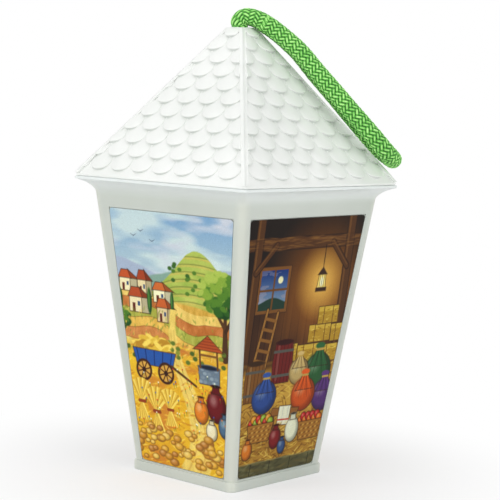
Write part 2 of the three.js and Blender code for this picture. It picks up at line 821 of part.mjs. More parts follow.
place(baseUnit, "battery_door", geometryOf(batteryDoor()), baseWhite);

// Cells, lying along X with the ends turned about
function cellGeometry() {
  const chamfer = 0.4;
  const shoulder = cellLength - cellNubHeight;
  return turned([
    [0, 0],
    [cellRadius - chamfer, 0],
    [cellRadius, chamfer],
    [cellRadius, shoulder - chamfer],
    [cellRadius - chamfer, shoulder],
    [cellNubRadius, shoulder],
    [cellNubRadius, cellLength],
    [0, cellLength],
  ]);
}

for (let cell = 0; cell < cellCount; cell += 1) {
  const mesh = place(baseUnit, `battery_cell_${cell + 1}`, cellGeometry(), cellJacket);
  const sign = endSign(cell);
  mesh.rotation.set(0, (sign * Math.PI) / 2, 0);
  mesh.position.set(sign * (cellPlusAt - cellLength), cellY(cell), cellZ);
}

// A coil that narrows as it leaves its plate, along X from the plate's face
class Coil extends THREE.Curve {
  constructor(x, y, direction) {
    super();
    this.start = new THREE.Vector3(x, y, cellZ);
    this.direction = direction;
  }

  getPoint(t, target = new THREE.Vector3()) {
    const radius = springWideRadius + (springNarrowRadius - springWideRadius) * t;
    const angle = t * springTurns * 2 * Math.PI;
    const reach = springLength - springWire;
    const x = this.start.x + this.direction * (springWire / 4 + reach * t);
    const y = this.start.y + radius * Math.cos(angle);
    return target.set(x, y, this.start.z + radius * Math.sin(angle));
  }
}

function contact(side, from, to, springs, tabbed) {
  const face = side * contactAt;
  const half = contactSheet / 2;
  const low = cellZ - contactSide / 2;
  const high = cellZ + contactSide / 2;
  const y0 = cellY(from) - contactSide / 2;
  const y1 = cellY(to) + contactSide / 2;
  let sheet = box(face - half, face + half, y0, y1, low, high);
  if (tabbed) {
    const t0 = cellY(from) - contactTabWidth / 2;
    const t1 = cellY(from) + contactTabWidth / 2;
    sheet = sheet.add(box(face - half, face + half, t0, t1, high - past, deckTop + contactTabRise));
  }
  for (const cell of springs) {
    const coil = new Coil(face - side * half, cellY(cell), -side);
    const steps = Math.round(springTurns * smallSides);
    sheet = sheet.add(solid(tube(coil, springWire / 2, springSides, steps)));
  }
  return geometryOf(sheet);
}

place(baseUnit, "contact_positive", contact(1, 0, 0, [], true), tinned);
place(baseUnit, "contact_bridge_right", contact(1, 1, 2, [1], false), tinned);
place(baseUnit, "contact_bridge_left", contact(-1, 0, 1, [0], false), tinned);
place(baseUnit, "contact_negative", contact(-1, 2, 2, [2], true), tinned);

// Slide switch, with its slider through a slot in the plate
const switchZ = plateTop + seatGap;
const sliderFootZ = switchZ + switchWall + runningGap;

function switchCase() {
  let body = box(
    -switchLength / 2,
    switchLength / 2,
    switchY - switchWidth / 2,
    switchY + switchWidth / 2,
    switchZ,
    switchZ + switchHeight,
  );
  const roomX = (sliderFootLength + switchTravel) / 2 + runningGap;
  const roomY = sliderFootWidth / 2 + runningGap;
  const roomTop = sliderFootZ + sliderFootHeight + runningGap;
  const room = box(-roomX, roomX, switchY - roomY, switchY + roomY, switchZ + switchWall, roomTop);
  const slotX = (sliderLength + switchTravel) / 2 + runningGap;
  const slotY = sliderWidth / 2 + runningGap;
  const slot = box(-slotX, slotX, switchY - slotY, switchY + slotY, 0, roomTop - runningGap);
  body = body.subtract(room).subtract(slot);
  for (const pin of [-1, 0, 1]) {
    const x = pin * pinPitch;
    const half = pinSide / 2;
    const top = switchZ + switchHeight;
    body = body.add(box(x - half, x + half, switchY - half, switchY + half, top - past, top + pinRise));
  }
  return body;
}

function switchSlider() {
  const x = -switchTravel / 2;
  const bottom = footRecess - sliderDrop;
  const stem = box(
    x - sliderLength / 2,
    x + sliderLength / 2,
    switchY - sliderWidth / 2,
    switchY + sliderWidth / 2,
    bottom,
    sliderFootZ + sliderFootHeight,
  );
  const foot = box(
    x - sliderFootLength / 2,
    x + sliderFootLength / 2,
    switchY - sliderFootWidth / 2,
    switchY + sliderFootWidth / 2,
    sliderFootZ,
    sliderFootZ + sliderFootHeight,
  );
  return stem.add(foot);
}

place(baseUnit, "switch_body", geometryOf(switchCase()), black);
place(baseUnit, "switch_slider", geometryOf(switchSlider()), black);

// Lamp board, its screws, the lamp and its resistor
function circuitBoard() {
  let board = block(boardLength / 2, boardWidth / 2, boardZ, boardTop);
  for (const side of [-1, 1]) {
    const drill = (x, y, radius) => bar(x, y, radius, boardZ - past, boardTop + past, smallSides);
    board = board.subtract(drill(side * postAt, 0, boardScrewRadius + 2 * holeGap));
    board = board.subtract(drill((side * leadPitch) / 2, 0, leadSide + holeGap));
    const lead = resistorLeadRadius + 1.5 * holeGap;
    board = board.subtract(drill((side * resistorSpan) / 2, resistorAt, lead));
  }
  return board;
}

place(baseUnit, "circuit_board", geometryOf(circuitBoard()), boardGreen);

[-1, 1].forEach((side, index) => {
  const length = boardThickness + 2 * seatGap + boardScrewBite;
  const geometry = screwSolid(boardScrewRadius, boardScrewHeadRadius, boardScrewHeadHeight, length);
  const screw = place(baseUnit, `board_screw_${index + 1}`, geometry, tinned);
  screw.rotation.set(Math.PI, 0, 0);
  screw.position.set(side * postAt, 0, boardTop + seatGap);
});

function lamp() {
  const z = boardTop + seatGap;
  const profile = [
    [0, z],
    [lampFlangeRadius, z],
    [lampFlangeRadius, z + lampFlangeHeight],
    [lampRadius, z + lampFlangeHeight],
  ];
  const domeSteps = 4;
  for (let step = 0; step < domeSteps; step += 1) {
    const angle = (step / domeSteps) * (Math.PI / 2);
    const height = z + lampHeight - lampRadius + lampRadius * Math.sin(angle);
    profile.push([lampRadius * Math.cos(angle), height]);
  }
  profile.push([0, z + lampHeight]);
  let made = solid(turned(profile));
  for (const side of [-1, 1]) {
    const x = (side * leadPitch) / 2;
    const half = leadSide / 2;
    made = made.add(box(x - half, x + half, -half, half, boardZ - leadDrop, z + lampFlangeHeight / 2));
  }
  return made;
}

place(baseUnit, "lamp", geometryOf(lamp()), lens);

function resistor() {
  const z = boardTop + seatGap + resistorRadius;
  const turnX = (geometry) => geometry.rotateY(Math.PI / 2).translate(0, resistorAt, z);
  const half = resistorLength / 2;
  const waist = resistorRadius * resistorWaistShare;
  const bead = resistorLength / 4;
  const body = turned([
    [0, -half],
    [resistorRadius, -half],
    [resistorRadius, -half + bead],
    [waist, -half + bead],
    [waist, half - bead],
    [resistorRadius, half - bead],
    [resistorRadius, half],
    [0, half],
  ], smallSides);
  const reach = resistorSpan / 2 + resistorLeadRadius;
  const wire = new THREE.CylinderGeometry(resistorLeadRadius, resistorLeadRadius, 2 * reach, wireSides);
  wire.rotateX(Math.PI / 2);
  let made = solid(turnX(body)).add(solid(turnX(wire)));
  for (const side of [-1, 1]) {
    const x = (side * resistorSpan) / 2;
    made = made.add(bar(x, resistorAt, resistorLeadRadius, boardZ - leadDrop, z, wireSides));
  }
  return made;
}

place(baseUnit, "resistor", geometryOf(resistor()), sand);

// Frosted cup over the lamp, standing in the deck's collar
function diffuser() {
  const foot = deckTop + seatGap;
  const top = foot + diffuserHeight;
  const shoulder = top - domeHeight;
  const steps = 6;
  const outer = [];
  const inner = [];
  for (let step = 0; step < steps; step += 1) {
    const angle = (step / steps) * (Math.PI / 2);
    const [c, s] = [Math.cos(angle), Math.sin(angle)];
    outer.push([diffuserRadius * c, shoulder + domeHeight * s]);
    inner.push([(diffuserRadius - diffuserWall) * c, shoulder + (domeHeight - diffuserWall) * s]);
  }
  const profile = [
    [diffuserRadius, foot],
    ...outer,
    [0, top],
    [0, top - diffuserWall],
    ...inner.reverse(),
    [diffuserRadius - diffuserWall, foot],
    [diffuserRadius, foot],
  ];
  let cup = solid(turned(profile, cupSides));
  for (const notch of wireNotches) {
    cup = cup.subtract(notchCut(notch, 0, foot + wireNotchHeight));
  }
  return cup;
}

place(baseUnit, "light_diffuser", geometryOf(diffuser()), frosted);

// Wires, each along its real route: tab to switch, switch to board, tab to board
const tabZ = deckTop + contactTabRise - wireRadius;
const pinTop = switchZ + switchHeight + pinRise + seatGap;
const padZ = boardTop + seatGap + wireRadius;
const tabY = -cellY(0);
const tabSide = contactTabWidth / 2 + seatGap;
const deckRun = deckTop + seatGap + wireRadius;
const outsideBay = -(bayHalfWidth + bayWall + 2 * seatGap + wireRadius);
const overPins = outsideBay - wireOverPins;
const wireRoutes = {
  wire_positive: [
    [contactAt, -tabY - tabSide, tabZ],
    [contactAt - 0.4, outsideBay + 1.6, tabZ],
    [contactAt - 3.4, outsideBay - 0.6, tabZ - 0.9],
    [contactAt - 10, outsideBay - 0.8, tabZ - 3.4],
    [pinPitch + 4.5, overPins, pinTop + 3],
    [pinPitch + 0.6, switchY, pinTop + 1.9],
    [pinPitch, switchY, pinTop],
  ],
  wire_switch: [
    [-pinPitch, switchY, pinTop],
    [-pinPitch, switchY, pinTop + 2.4],
    [-pinPitch - 0.3, outsideBay - 0.8, deckRun - 0.6],
    [switchWireX, outsideBay + 2.6, deckRun + 0.2],
    [switchWireX, -diffuserRadius + 1, deckRun + 0.1],
    [-4.6, -boardWidth / 2 - 2.6, deckRun + 1.2],
    [-6.4, -boardWidth / 2 - 0.6, padZ + 0.5],
    [-7.4, -boardWidth / 2 + 2.4, padZ],
  ],
  wire_negative: [
    [-contactAt + tabSide, tabY, tabZ],
    [-contactAt + 4.4, tabY - 2.6, tabZ - 0.2],
    [-diffuserRadius - 3, 4.8, deckRun + 0.1],
    [-diffuserRadius + 1, returnWireY, deckRun + 0.1],
    [-boardLength / 2 - 1.5, returnWireY, deckRun + 1.6],
    [-boardLength / 2 - 0.9, returnWireY, padZ - 0.2],
    [-boardLength / 2 + 0.6, returnWireY, padZ + 0.2],
    [-boardLength / 2 + 2.6, returnWireY, padZ],
  ],
};
for (const [name, route] of Object.entries(wireRoutes)) {
  const material = name === "wire_negative" ? blackWire : redWire;
  place(baseUnit, name, tube(curveThrough(route), wireRadius, wireSides, wireSteps), material);
}

export default lantern;
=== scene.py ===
# %% [markdown]
# # A picture lantern on a green rope
#
# The lantern is a tapered square body of milky plastic with a printed picture on each wall, a white
# roof with moulded tiles, and a loop of braided rope. We build it in metres, in the same frame as
# the packed model: the origin is the centre of its foot and +Z is up. The packed model comes first,
# because every piece that we make stands for one of its nodes and moves with one of its bodies.

# %% Load the packed model
import copy
import math
import bmesh
import bpy
import numpy as np
from mathutils import Matrix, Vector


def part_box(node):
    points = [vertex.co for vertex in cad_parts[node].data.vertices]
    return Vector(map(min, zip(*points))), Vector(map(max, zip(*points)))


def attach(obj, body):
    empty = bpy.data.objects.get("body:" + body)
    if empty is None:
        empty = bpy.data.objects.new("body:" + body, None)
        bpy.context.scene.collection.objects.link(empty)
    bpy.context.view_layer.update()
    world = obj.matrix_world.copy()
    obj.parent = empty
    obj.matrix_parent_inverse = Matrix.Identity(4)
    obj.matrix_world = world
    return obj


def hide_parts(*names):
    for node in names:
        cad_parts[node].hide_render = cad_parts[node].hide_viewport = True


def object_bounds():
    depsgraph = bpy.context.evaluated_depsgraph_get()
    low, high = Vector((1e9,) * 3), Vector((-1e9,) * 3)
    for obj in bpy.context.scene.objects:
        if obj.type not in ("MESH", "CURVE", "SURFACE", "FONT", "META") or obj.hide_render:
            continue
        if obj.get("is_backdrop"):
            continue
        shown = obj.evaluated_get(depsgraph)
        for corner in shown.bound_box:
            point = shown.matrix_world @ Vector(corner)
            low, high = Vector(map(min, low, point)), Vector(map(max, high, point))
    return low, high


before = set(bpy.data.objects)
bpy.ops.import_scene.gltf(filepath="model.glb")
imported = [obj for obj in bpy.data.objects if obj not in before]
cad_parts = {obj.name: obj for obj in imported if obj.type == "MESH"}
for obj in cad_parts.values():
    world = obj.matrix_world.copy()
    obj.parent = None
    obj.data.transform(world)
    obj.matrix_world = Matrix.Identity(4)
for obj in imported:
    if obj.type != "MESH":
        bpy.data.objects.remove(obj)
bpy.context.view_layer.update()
mm = 0.001

# %% [markdown]
# ## The camera
#
# The picture was taken with a long lens from about 70 cm away, a little above the eave and with one
# corner of the lantern towards it. The place and the three angles come from a camera that was fitted
# to the lantern's own corners. The columns of the camera's matrix are its right, its up and its back.

# %% Camera at the photograph's place
def in_scene(name, data):
    """A new object with this data, at the origin of the scene."""
    thing = bpy.data.objects.new(name, data)
    bpy.context.scene.collection.objects.link(thing)
    return thing


def stand_at(thing, axes, place):
    """Turns an object so that its own three axes are the given columns, and puts it at its place."""
    matrix = np.eye(4)
    matrix[:3, :3] = axes
    matrix[:3, 3] = place
    thing.matrix_world = Matrix(matrix.tolist())


yaw, pitch, roll = 0.0573942516, 0.0955866797, 0.0340349805
focal_pixels, picture_pixels, sensor_wide = 1570.73, 500, 36
eighth = np.array(Matrix.Rotation(math.radians(45), 3, "Z"))
forward = np.array([math.sin(yaw) * math.cos(pitch), math.cos(yaw) * math.cos(pitch), -math.sin(pitch)])
level = np.array([math.cos(yaw), -math.sin(yaw), 0.0])
upright = np.cross(level, forward)
right = math.cos(roll) * level + math.sin(roll) * upright
up = math.cos(roll) * upright - math.sin(roll) * level
seat = eighth @ (np.array([-33.36, -702.1, 168.3]) * mm)
camera = in_scene("camera", bpy.data.cameras.new("camera"))
camera.data.sensor_width = sensor_wide
camera.data.lens = focal_pixels / picture_pixels * sensor_wide
stand_at(camera, eighth @ np.column_stack([right, up, -forward]), seat)
bpy.context.scene.camera = camera
print("lens", round(camera.data.lens, 2), "mm, camera at", np.round(seat, 4))

# %% [markdown]
# ## From arrays to a mesh
#
# Every surface below is a grid of points that numpy works out all at once. These helpers join the
# points by four-sided faces, turn both into a mesh, hand the piece over to its body, and name the
# node of the packed model that it stands for.

# %% Helpers for grids and pieces
def grid_faces(rows, columns, around=False, closed=False):
    """Faces of a grid of rows by columns: around joins the last column to the first, and closed
    joins the last row to the first."""
    r = np.arange(rows if closed else rows - 1)[:, None]
    c = np.arange(columns if around else columns - 1)[None, :]
    r1, c1 = (r + 1) % rows, (c + 1) % columns
    quads = np.stack([r * columns + c, r * columns + c1, r1 * columns + c1, r1 * columns + c], -1)
    return quads.reshape(-1, 4)


def fan_faces(ring, hub):
    """Triangles from one ring of point numbers to a hub, each with its last corner repeated."""
    following = np.roll(ring, -1)
    middle = np.full_like(ring, hub)
    return np.stack([ring, following, middle, middle], -1)


def round_angles(sides):
    """Even angles once round, from 0."""
    return np.linspace(0, 2 * math.pi, sides, endpoint=False)


def unit(vectors):
    """Vectors, one in each row, made one long."""
    return vectors / np.linalg.norm(vectors, axis=-1, keepdims=True)


def pole_shell(rings, first, last):
    """Rings of points joined by a grid, with a fan from the first ring to one pole and from the last
    ring to the other."""
    rows, sides, _ = rings.shape
    points = np.concatenate([rings.reshape(-1, 3), [first, last]])
    faces = [grid_faces(rows, sides, around=True)]
    faces.append(fan_faces(np.arange(sides)[::-1], rows * sides))
    faces.append(fan_faces(np.arange(sides) + (rows - 1) * sides, rows * sides + 1))
    return points, np.concatenate(faces)


def join_shells(shells):
    """Puts shells, each (points, faces), one after the other in one pair of arrays."""
    points, faces, start = [], [], 0
    for shell_points, shell_faces in shells:
        points.append(shell_points)
        faces.append(shell_faces + start)
        start += len(shell_points)
    return np.concatenate(points), np.concatenate(faces)


def mesh_of(name, points, faces, material):
    """A smooth mesh from an array of points and an array of faces; a face whose last corner repeats
    is a triangle."""
    mesh = bpy.data.meshes.new(name)
    three = faces[:, 2] == faces[:, 3]
    sizes = np.where(three, 3, 4)
    starts = np.concatenate([[0], np.cumsum(sizes)[:-1]])
    corners = faces.ravel()[~(np.repeat(three, 4) & (np.arange(faces.size) % 4 == 3))]
    mesh.vertices.add(len(points))
    mesh.vertices.foreach_set("co", np.ascontiguousarray(points, dtype=np.float32).ravel())
    mesh.loops.add(len(corners))
    mesh.loops.foreach_set("vertex_index", corners.astype(np.int32))
    mesh.polygons.add(len(faces))
    mesh.polygons.foreach_set("loop_start", starts.astype(np.int32))
    mesh.update(calc_edges=True)
    mesh.validate()
    mesh.polygons.foreach_set("use_smooth", np.ones(len(mesh.polygons), dtype=bool))
    mesh.materials.append(material)
    return mesh


def hand_over(thing, body, node):
    """Lets a piece move with its body and stand for a node of the packed model, whose own mesh it hides."""
    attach(thing, body)
    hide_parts(node)


def piece(name, points, faces, material, body, node, sharp=35):
    """Makes a finished object at the origin, smooth but for edges sharper than the given angle."""
    thing = in_scene(name, mesh_of(name, points, faces, material))
    thing.data.set_sharp_from_angle(angle=math.radians(sharp))
    hand_over(thing, body, node)
    print(f"{name}: {len(points)} points, {len(thing.data.polygons)} faces")
    return thing


def keep_values(thing, name, values):
    """Stores one number for each point as an attribute that a material can read."""
    layer = thing.data.attributes.new(name, "FLOAT", "POINT")
    layer.data.foreach_set("value", np.asarray(values, dtype=np.float32).ravel())


# %% [markdown]
# ## Shader groups that several finishes share
#
# A moulded surface is never quite even, and a used one is duller in places. One group gives a slow
# drift of tone, and one a fine grain, both from Object coordinates so that they stay on the piece.

# %% Helpers for nodes
def fill(node, inputs):
    """Gives inputs of a node, by name or number, a value or a link from another node's socket."""
    for key, value in dict(inputs).items():
        if isinstance(value, bpy.types.NodeSocket):
            node.id_data.links.new(value, node.inputs[key])
        else:
            node.inputs[key].default_value = value


def add_node(tree, kind, inputs=(), **settings):
    """Adds a shader node, sets its properties and fills its inputs."""
    node = tree.nodes.new("ShaderNode" + kind)
    for key, value in settings.items():
        setattr(node, key, value)
    fill(node, inputs)
    return node


def maths(tree, operation, a, b=0.0):
    """One Math node."""
    return add_node(tree, "Math", {0: a, 1: b}, operation=operation).outputs[0]


def mixed(tree, share, a, b):
    """One colour Mix node: a where the share is 0 and b where it is 1."""
    return add_node(tree, "Mix", {0: share, 6: a, 7: b}, data_type="RGBA").outputs[2]


def ramp(tree, value, low, high, to_low=0.0, to_high=1.0):
    """A smooth step from low to high."""
    ends = {"Value": value, "From Min": low, "From Max": high, "To Min": to_low, "To Max": to_high}
    return add_node(tree, "MapRange", ends, interpolation_type="SMOOTHSTEP").outputs[0]


def place_on(tree):
    """Each point's place in the piece's own Object coordinates."""
    return add_node(tree, "TexCoord").outputs["Object"]


def noise(tree, scale, detail):
    """Noise from 0 to 1 that is fixed to the piece."""
    return add_node(tree, "TexNoise", {"Vector": place_on(tree), "Scale": scale, "Detail": detail}).outputs[0]


def stored(tree, name, output="Fac"):
    """What the mesh keeps for each point under a name."""
    return add_node(tree, "Attribute", attribute_name=name).outputs[output]


def linear_light(tones):
    """Tones from 0 to 255 as the amounts of light that shaders count with: an even rise for the
    darkest tones, and a power of 2.4 above them."""
    share = np.asarray(tones, dtype=float) / 255
    return np.where(share <= 0.04, share / 12.92, ((np.clip(share, 0, 1) + 0.055) / 1.055) ** 2.4)


def colour(*tones):
    """A colour read off as red, green and blue from 0 to 255, made linear for the shaders."""
    return (*linear_light(tones).tolist(), 1.0)


# %% Groups for drift and grain
def new_group(name, inputs, outputs):
    """A shader group with named inputs, each (kind, start value), and named outputs, each a kind."""
    tree = bpy.data.node_groups.new(name, "ShaderNodeTree")
    for label, (kind, value) in inputs.items():
        socket = tree.interface.new_socket(label, in_out="INPUT", socket_type="NodeSocket" + kind)
        socket.default_value = value
    for label, kind in outputs.items():
        tree.interface.new_socket(label, in_out="OUTPUT", socket_type="NodeSocket" + kind)
    return tree, tree.nodes.new("NodeGroupInput").outputs, tree.nodes.new("NodeGroupOutput")


drift, give, take = new_group(
    "tone drift",
    {"Scale": ("Float", 40.0), "Low": ("Color", (0, 0, 0, 1)), "High": ("Color", (1, 1, 1, 1))},
    {"Color": "Color"},
)
share = ramp(drift, noise(drift, give["Scale"], 3.0), 0.35, 0.65)
fill(take, {"Color": mixed(drift, share, give["Low"], give["High"])})

grain, give, take = new_group(
    "moulded grain", {"Scale": ("Float", 1500.0), "Waviness": ("Float", 0.5)}, {"Height": "Float"}
)
swell = maths(grain, "MULTIPLY", noise(grain, 90.0, 1.0), give["Waviness"])
fill(take, {"Height": maths(grain, "ADD", noise(grain, give["Scale"], 2.0), swell)})
print("groups:", [group.name for group in bpy.data.node_groups])


# %% Helpers for a material with one Principled shader
def new_material(name, **sockets):
    """A material with a Principled shader whose own sockets are set; returns it, its tree and the
    shader."""
    material = bpy.data.materials.new(name)
    material.use_nodes = True
    shader = material.node_tree.nodes["Principled BSDF"]
    fill(shader, {label.replace("_", " "): value for label, value in sockets.items()})
    return material, material.node_tree, shader


def use_group(tree, group, **inputs):
    """Places a shared group in a material with its own values; returns its outputs."""
    node = tree.nodes.new("ShaderNodeGroup")
    node.node_tree = group
    fill(node, inputs)
    return node.outputs


def drift_tone(tree, scale, low, high):
    """The shared drift between two colours, each as red, green and blue from 0 to 255."""
    return use_group(tree, drift, Scale=scale, Low=colour(*low), High=colour(*high))["Color"]


def bump_on(tree, shader, height, strength, distance):
    """Feeds a height to the shader's normal."""
    bump = add_node(tree, "Bump", {"Strength": strength, "Distance": distance, "Height": height})
    fill(shader, {"Normal": bump.outputs[0]})


def grained(tree, shader, strength=0.5, distance=0.00002):
    """Gives the shader the shared fine grain."""
    bump_on(tree, shader, use_group(tree, grain)["Height"], strength, distance)


def moulded(name, low, high, roughness, scale, grain_deep=0.00002, **sockets):
    """Moulded plastic: a tone that drifts between two near colours, and a fine grain."""
    material, tree, shader = new_material(name, Roughness=roughness, **sockets)
    fill(shader, {"Base Color": drift_tone(tree, scale, low, high)})
    grained(tree, shader, distance=grain_deep)
    return material


# %% [markdown]
# ## The rope
#
# The rope is a round braid of bright green yarn, 8 mm across. It comes out of the hole in the roof's
# tip as two strands side by side, bends over the rim, and makes one loop that leans on the corner.
# A rope this thick holds its bow by itself. We could texture a smooth tube, but the stitches show at
# the outline, so we press them into the tube. Half of the yarns wind round the rope one way and half
# the other way, and each goes over two of the others and then under two, which makes the zigzag.

# %% The rope's route, in millimetres: over the corner, across, height
rope_route = np.array([
    [9.1, -4.2, 202.5], [13.3, -4.4, 200.0], [17.0, -4.9, 197.3], [25.6, -6.5, 190.2],
    [33.3, -8.6, 181.6], [41.1, -10.8, 173.1], [48.9, -12.6, 164.6], [58.2, -13.2, 154.7],
    [63.7, -11.2, 148.9], [67.6, -6.2, 145.4], [70.1, 1.0, 143.5], [69.8, 8.4, 143.8],
    [66.6, 14.6, 146.5], [61.1, 16.6, 152.2], [50.9, 15.6, 163.2], [42.6, 13.2, 172.2],
    [34.2, 10.6, 181.0], [26.1, 7.8, 190.0], [17.3, 5.2, 197.3], [13.3, 4.4, 200.0],
    [9.1, 4.2, 202.5],
])
rope_radius = 4 * mm
over = np.array([1, 1, 0]) / math.sqrt(2)
across = np.array([-1, 1, 0]) / math.sqrt(2)


def over_corner(points):
    """Points given over the corner, across it and up, in millimetres, as points in metres."""
    p = np.asarray(points, dtype=float)
    return (p[..., :1] * over + p[..., 1:2] * across + p[..., 2:] * np.array([0, 0, 1])) * mm


def smooth_path(points, count):
    """A centripetal Catmull-Rom curve and its length: each stretch blends its four nearest points by
    the square roots of their distances, and the curve is cut into even steps."""
    p = np.concatenate([[2 * points[0] - points[1]], points, [2 * points[-1] - points[-2]]])
    knots = np.concatenate([[0], np.cumsum(np.sqrt(np.linalg.norm(np.diff(p, axis=0), axis=1)))])
    t = np.linspace(knots[1], knots[-2], 60 * len(points))
    i = np.clip(np.searchsorted(knots, t, "right") - 1, 1, len(p) - 3)
    k = [knots[i - 1 + n][:, None] for n in range(4)]
    q = [p[i - 1 + n] for n in range(4)]
    s = t[:, None]
    a = [((k[n + 1] - s) * q[n] + (s - k[n]) * q[n + 1]) / (k[n + 1] - k[n]) for n in range(3)]
    b = [((k[n + 2] - s) * a[n] + (s - k[n]) * a[n + 1]) / (k[n + 2] - k[n]) for n in range(2)]
    curve = ((k[2] - s) * b[0] + (s - k[1]) * b[1]) / (k[2] - k[1])
    run = np.concatenate([[0], np.cumsum(np.linalg.norm(np.diff(curve, axis=0), axis=1))])
    even = np.linspace(0, run[-1], count)
    return np.stack([np.interp(even, run, curve[:, n]) for n in range(3)], -1), run[-1]


rope_line, rope_length = smooth_path(over_corner(rope_route), 760)
print("rope loop:", round(rope_length * 1000, 1), "mm")

# %% The braid as a surface of two parameters: along the rope and round it
rope_around, yarns, stitch, valley = 96, 12, 2.2 * mm, 0.75 * mm


def carried_frames(line, first_side):
    """Tangents, and two sides that turn with the line without twisting: each side is the last one
    made square to the new tangent."""
    tangent = unit(np.gradient(line, axis=0))
    side = np.empty_like(line)
    current = np.asarray(first_side, dtype=float)
    for n, direction in enumerate(tangent):
        current = current - direction * (current @ direction)
        current = current / np.linalg.norm(current)
        side[n] = current
    return tangent, side, np.cross(tangent, side)


def braid_height(run, angle):
    """Height from 0 to 1 of a braid that goes over two and under two. A family of yarns lies where
    the place along the rope over the stitch, less or plus the turns round it times the yarns, is a
    whole number. Each yarn is a half round ridge that rises and sinks as a flattened cosine of its
    place among the yarns it crosses, and the higher of the two families counts. The fraction of a
    large sine makes some stitches a little lower."""
    turn = angle / (2 * math.pi) * yarns
    first, second = run / stitch - turn, run / stitch + turn
    height = np.zeros(first.shape)
    for mine, crossed, centre in ((first, second, 0.5), (second, first, 2.5)):
        number = np.round(mine)
        ridge = np.sqrt(np.clip(1 - (2 * (mine - number)) ** 2, 0, 1))
        place = (crossed + number - centre) / 4
        rise = np.clip(0.5 + 0.8 * np.cos(2 * math.pi * place), 0, 1)
        large = 43.7585 * np.sin(12.9898 * np.round(place) + 78.233 * (number % yarns))
        uneven = np.modf(np.abs(large))[0]
        height = np.maximum(height, ridge * (0.3 + 0.7 * rise) * (0.88 + 0.12 * uneven))
    return height


def rope_rings(line, side, other, run, wide, thick):
    """Rings at the line plus cos(angle) times one half width plus sin(angle) times the other, both
    made smaller by the braid's valleys, and the braid's height at their points."""
    angle = round_angles(rope_around)[None, :]
    height = braid_height(run[:, None], angle)
    low = valley * (1 - height)
    x = (wide[:, None] - low) * np.cos(angle)
    y = (thick[:, None] - low) * np.sin(angle)
    return line[:, None] + x[..., None] * side[:, None] + y[..., None] * other[:, None], height.ravel()


def rope_shell(line, run, wide, thick):
    """A length of rope closed at both ends, and the braid's height at its points, 1 at the ends."""
    _, side, other = carried_frames(line, across)
    rings, height = rope_rings(line, side, other, run, wide, thick)
    return pole_shell(rings, line[0], line[-1]), np.append(height, [1, 1])


full = np.full(len(rope_line), rope_radius)
loop_shell = rope_shell(rope_line, np.linspace(0, rope_length, len(rope_line)), full, full)
print("braid rings:", len(rope_line))

# %% [markdown]
# The yarn gets a painted highlight at the top of each stitch and painted shade in the valleys, where
# little light reaches. The height of the braid is kept on the mesh as an attribute, so that the colour
# can follow it, and a fine noise gives the yarn its fibres.

# %% Rope material, and the loop
rope_green, rope_tree, rope_shader = new_material(
    "green braided yarn", Roughness=0.72, Sheen_Weight=0.15, Sheen_Roughness=0.4
)
rope_height = stored(rope_tree, "braid")
fibre = noise(rope_tree, 1400.0, 3.0)
yarn_fibre_green = mixed(rope_tree, ramp(rope_tree, fibre, 0.3, 0.7), colour(84, 188, 58), colour(116, 212, 80))
# Painted highlight on the stitch tops, then painted shade in the valleys between the yarns.
yarn_painted_highlight = mixed(rope_tree, ramp(rope_tree, rope_height, 0.74, 1.0), yarn_fibre_green, colour(188, 250, 148))
yarn_painted_shade = mixed(rope_tree, ramp(rope_tree, rope_height, 0.3, 0.9), colour(2, 40, 5), yarn_painted_highlight)
fill(rope_shader, {"Base Color": yarn_painted_shade})
bump_on(rope_tree, rope_shader, fibre, 0.6, 0.0002)


def rope_piece(name, node, lengths):
    """One piece from its lengths of rope, each a shell with the braid's height at its points."""
    points, faces = join_shells([shell for shell, _ in lengths])
    thing = piece(name, points, faces, rope_green, "lid", node, sharp=180)
    keep_values(thing, "braid", np.concatenate([height for _, height in lengths]))
    return thing


rope_loop = rope_piece("rope_loop", "rope_handle", [loop_shell])

# %% [markdown]
# In the hole the two strands are pressed together. This piece carries both strands on from the
# loop's ends: each is a round braid at the loop, and gets narrower and closer to its neighbour on
# its way down through the rim.

# %% The two strands in the hole
neck_middle = np.array([
    [10.6, 201.7], [7.4, 203.4], [4.6, 204.3], [1.7, 204.7], [-0.3, 204.0],
    [-1.3, 202.8], [-1.4, 201.4], [-0.55, 199.8], [-0.2, 198.0], [0.0, 193.2],
])
neck_spread = np.array([4.25, 4.1, 4.0, 3.8, 3.5, 3.1, 2.6, 2.1, 1.9, 1.8])
neck_wide = np.array([3.8, 4.0, 4.0, 3.9, 3.8, 3.5, 3.0, 2.4, 2.2, 2.2])
neck_thick = np.array([3.8, 3.9, 3.8, 3.7, 3.6, 3.6, 3.5, 3.3, 3.3, 3.3])


def neck_strand(sign):
    """One strand: the middle line shifted across by its spread, with its own half widths at each
    station."""
    stations = np.stack([neck_middle[:, 0], sign * neck_spread, neck_middle[:, 1]], -1)
    line, length = smooth_path(over_corner(stations), 90)
    at = np.linspace(0, 1, len(line))
    known = np.linspace(0, 1, len(neck_middle))
    wide, thick = (np.interp(at, known, half) * mm for half in (neck_wide, neck_thick))
    return rope_shell(line, at * length, wide, thick)


rope_neck = rope_piece("rope_strands_in_hole", "rope_neck", [neck_strand(-1), neck_strand(1)])

# %% [markdown]
# Inside the roof the two ends are tied in one overhand knot, which can't pass the hole. From below
# it shows as a few thick turns of rope with two short tails. A trefoil is the line of an overhand
# knot, so we lay the rope along one and let the tails hang from it.

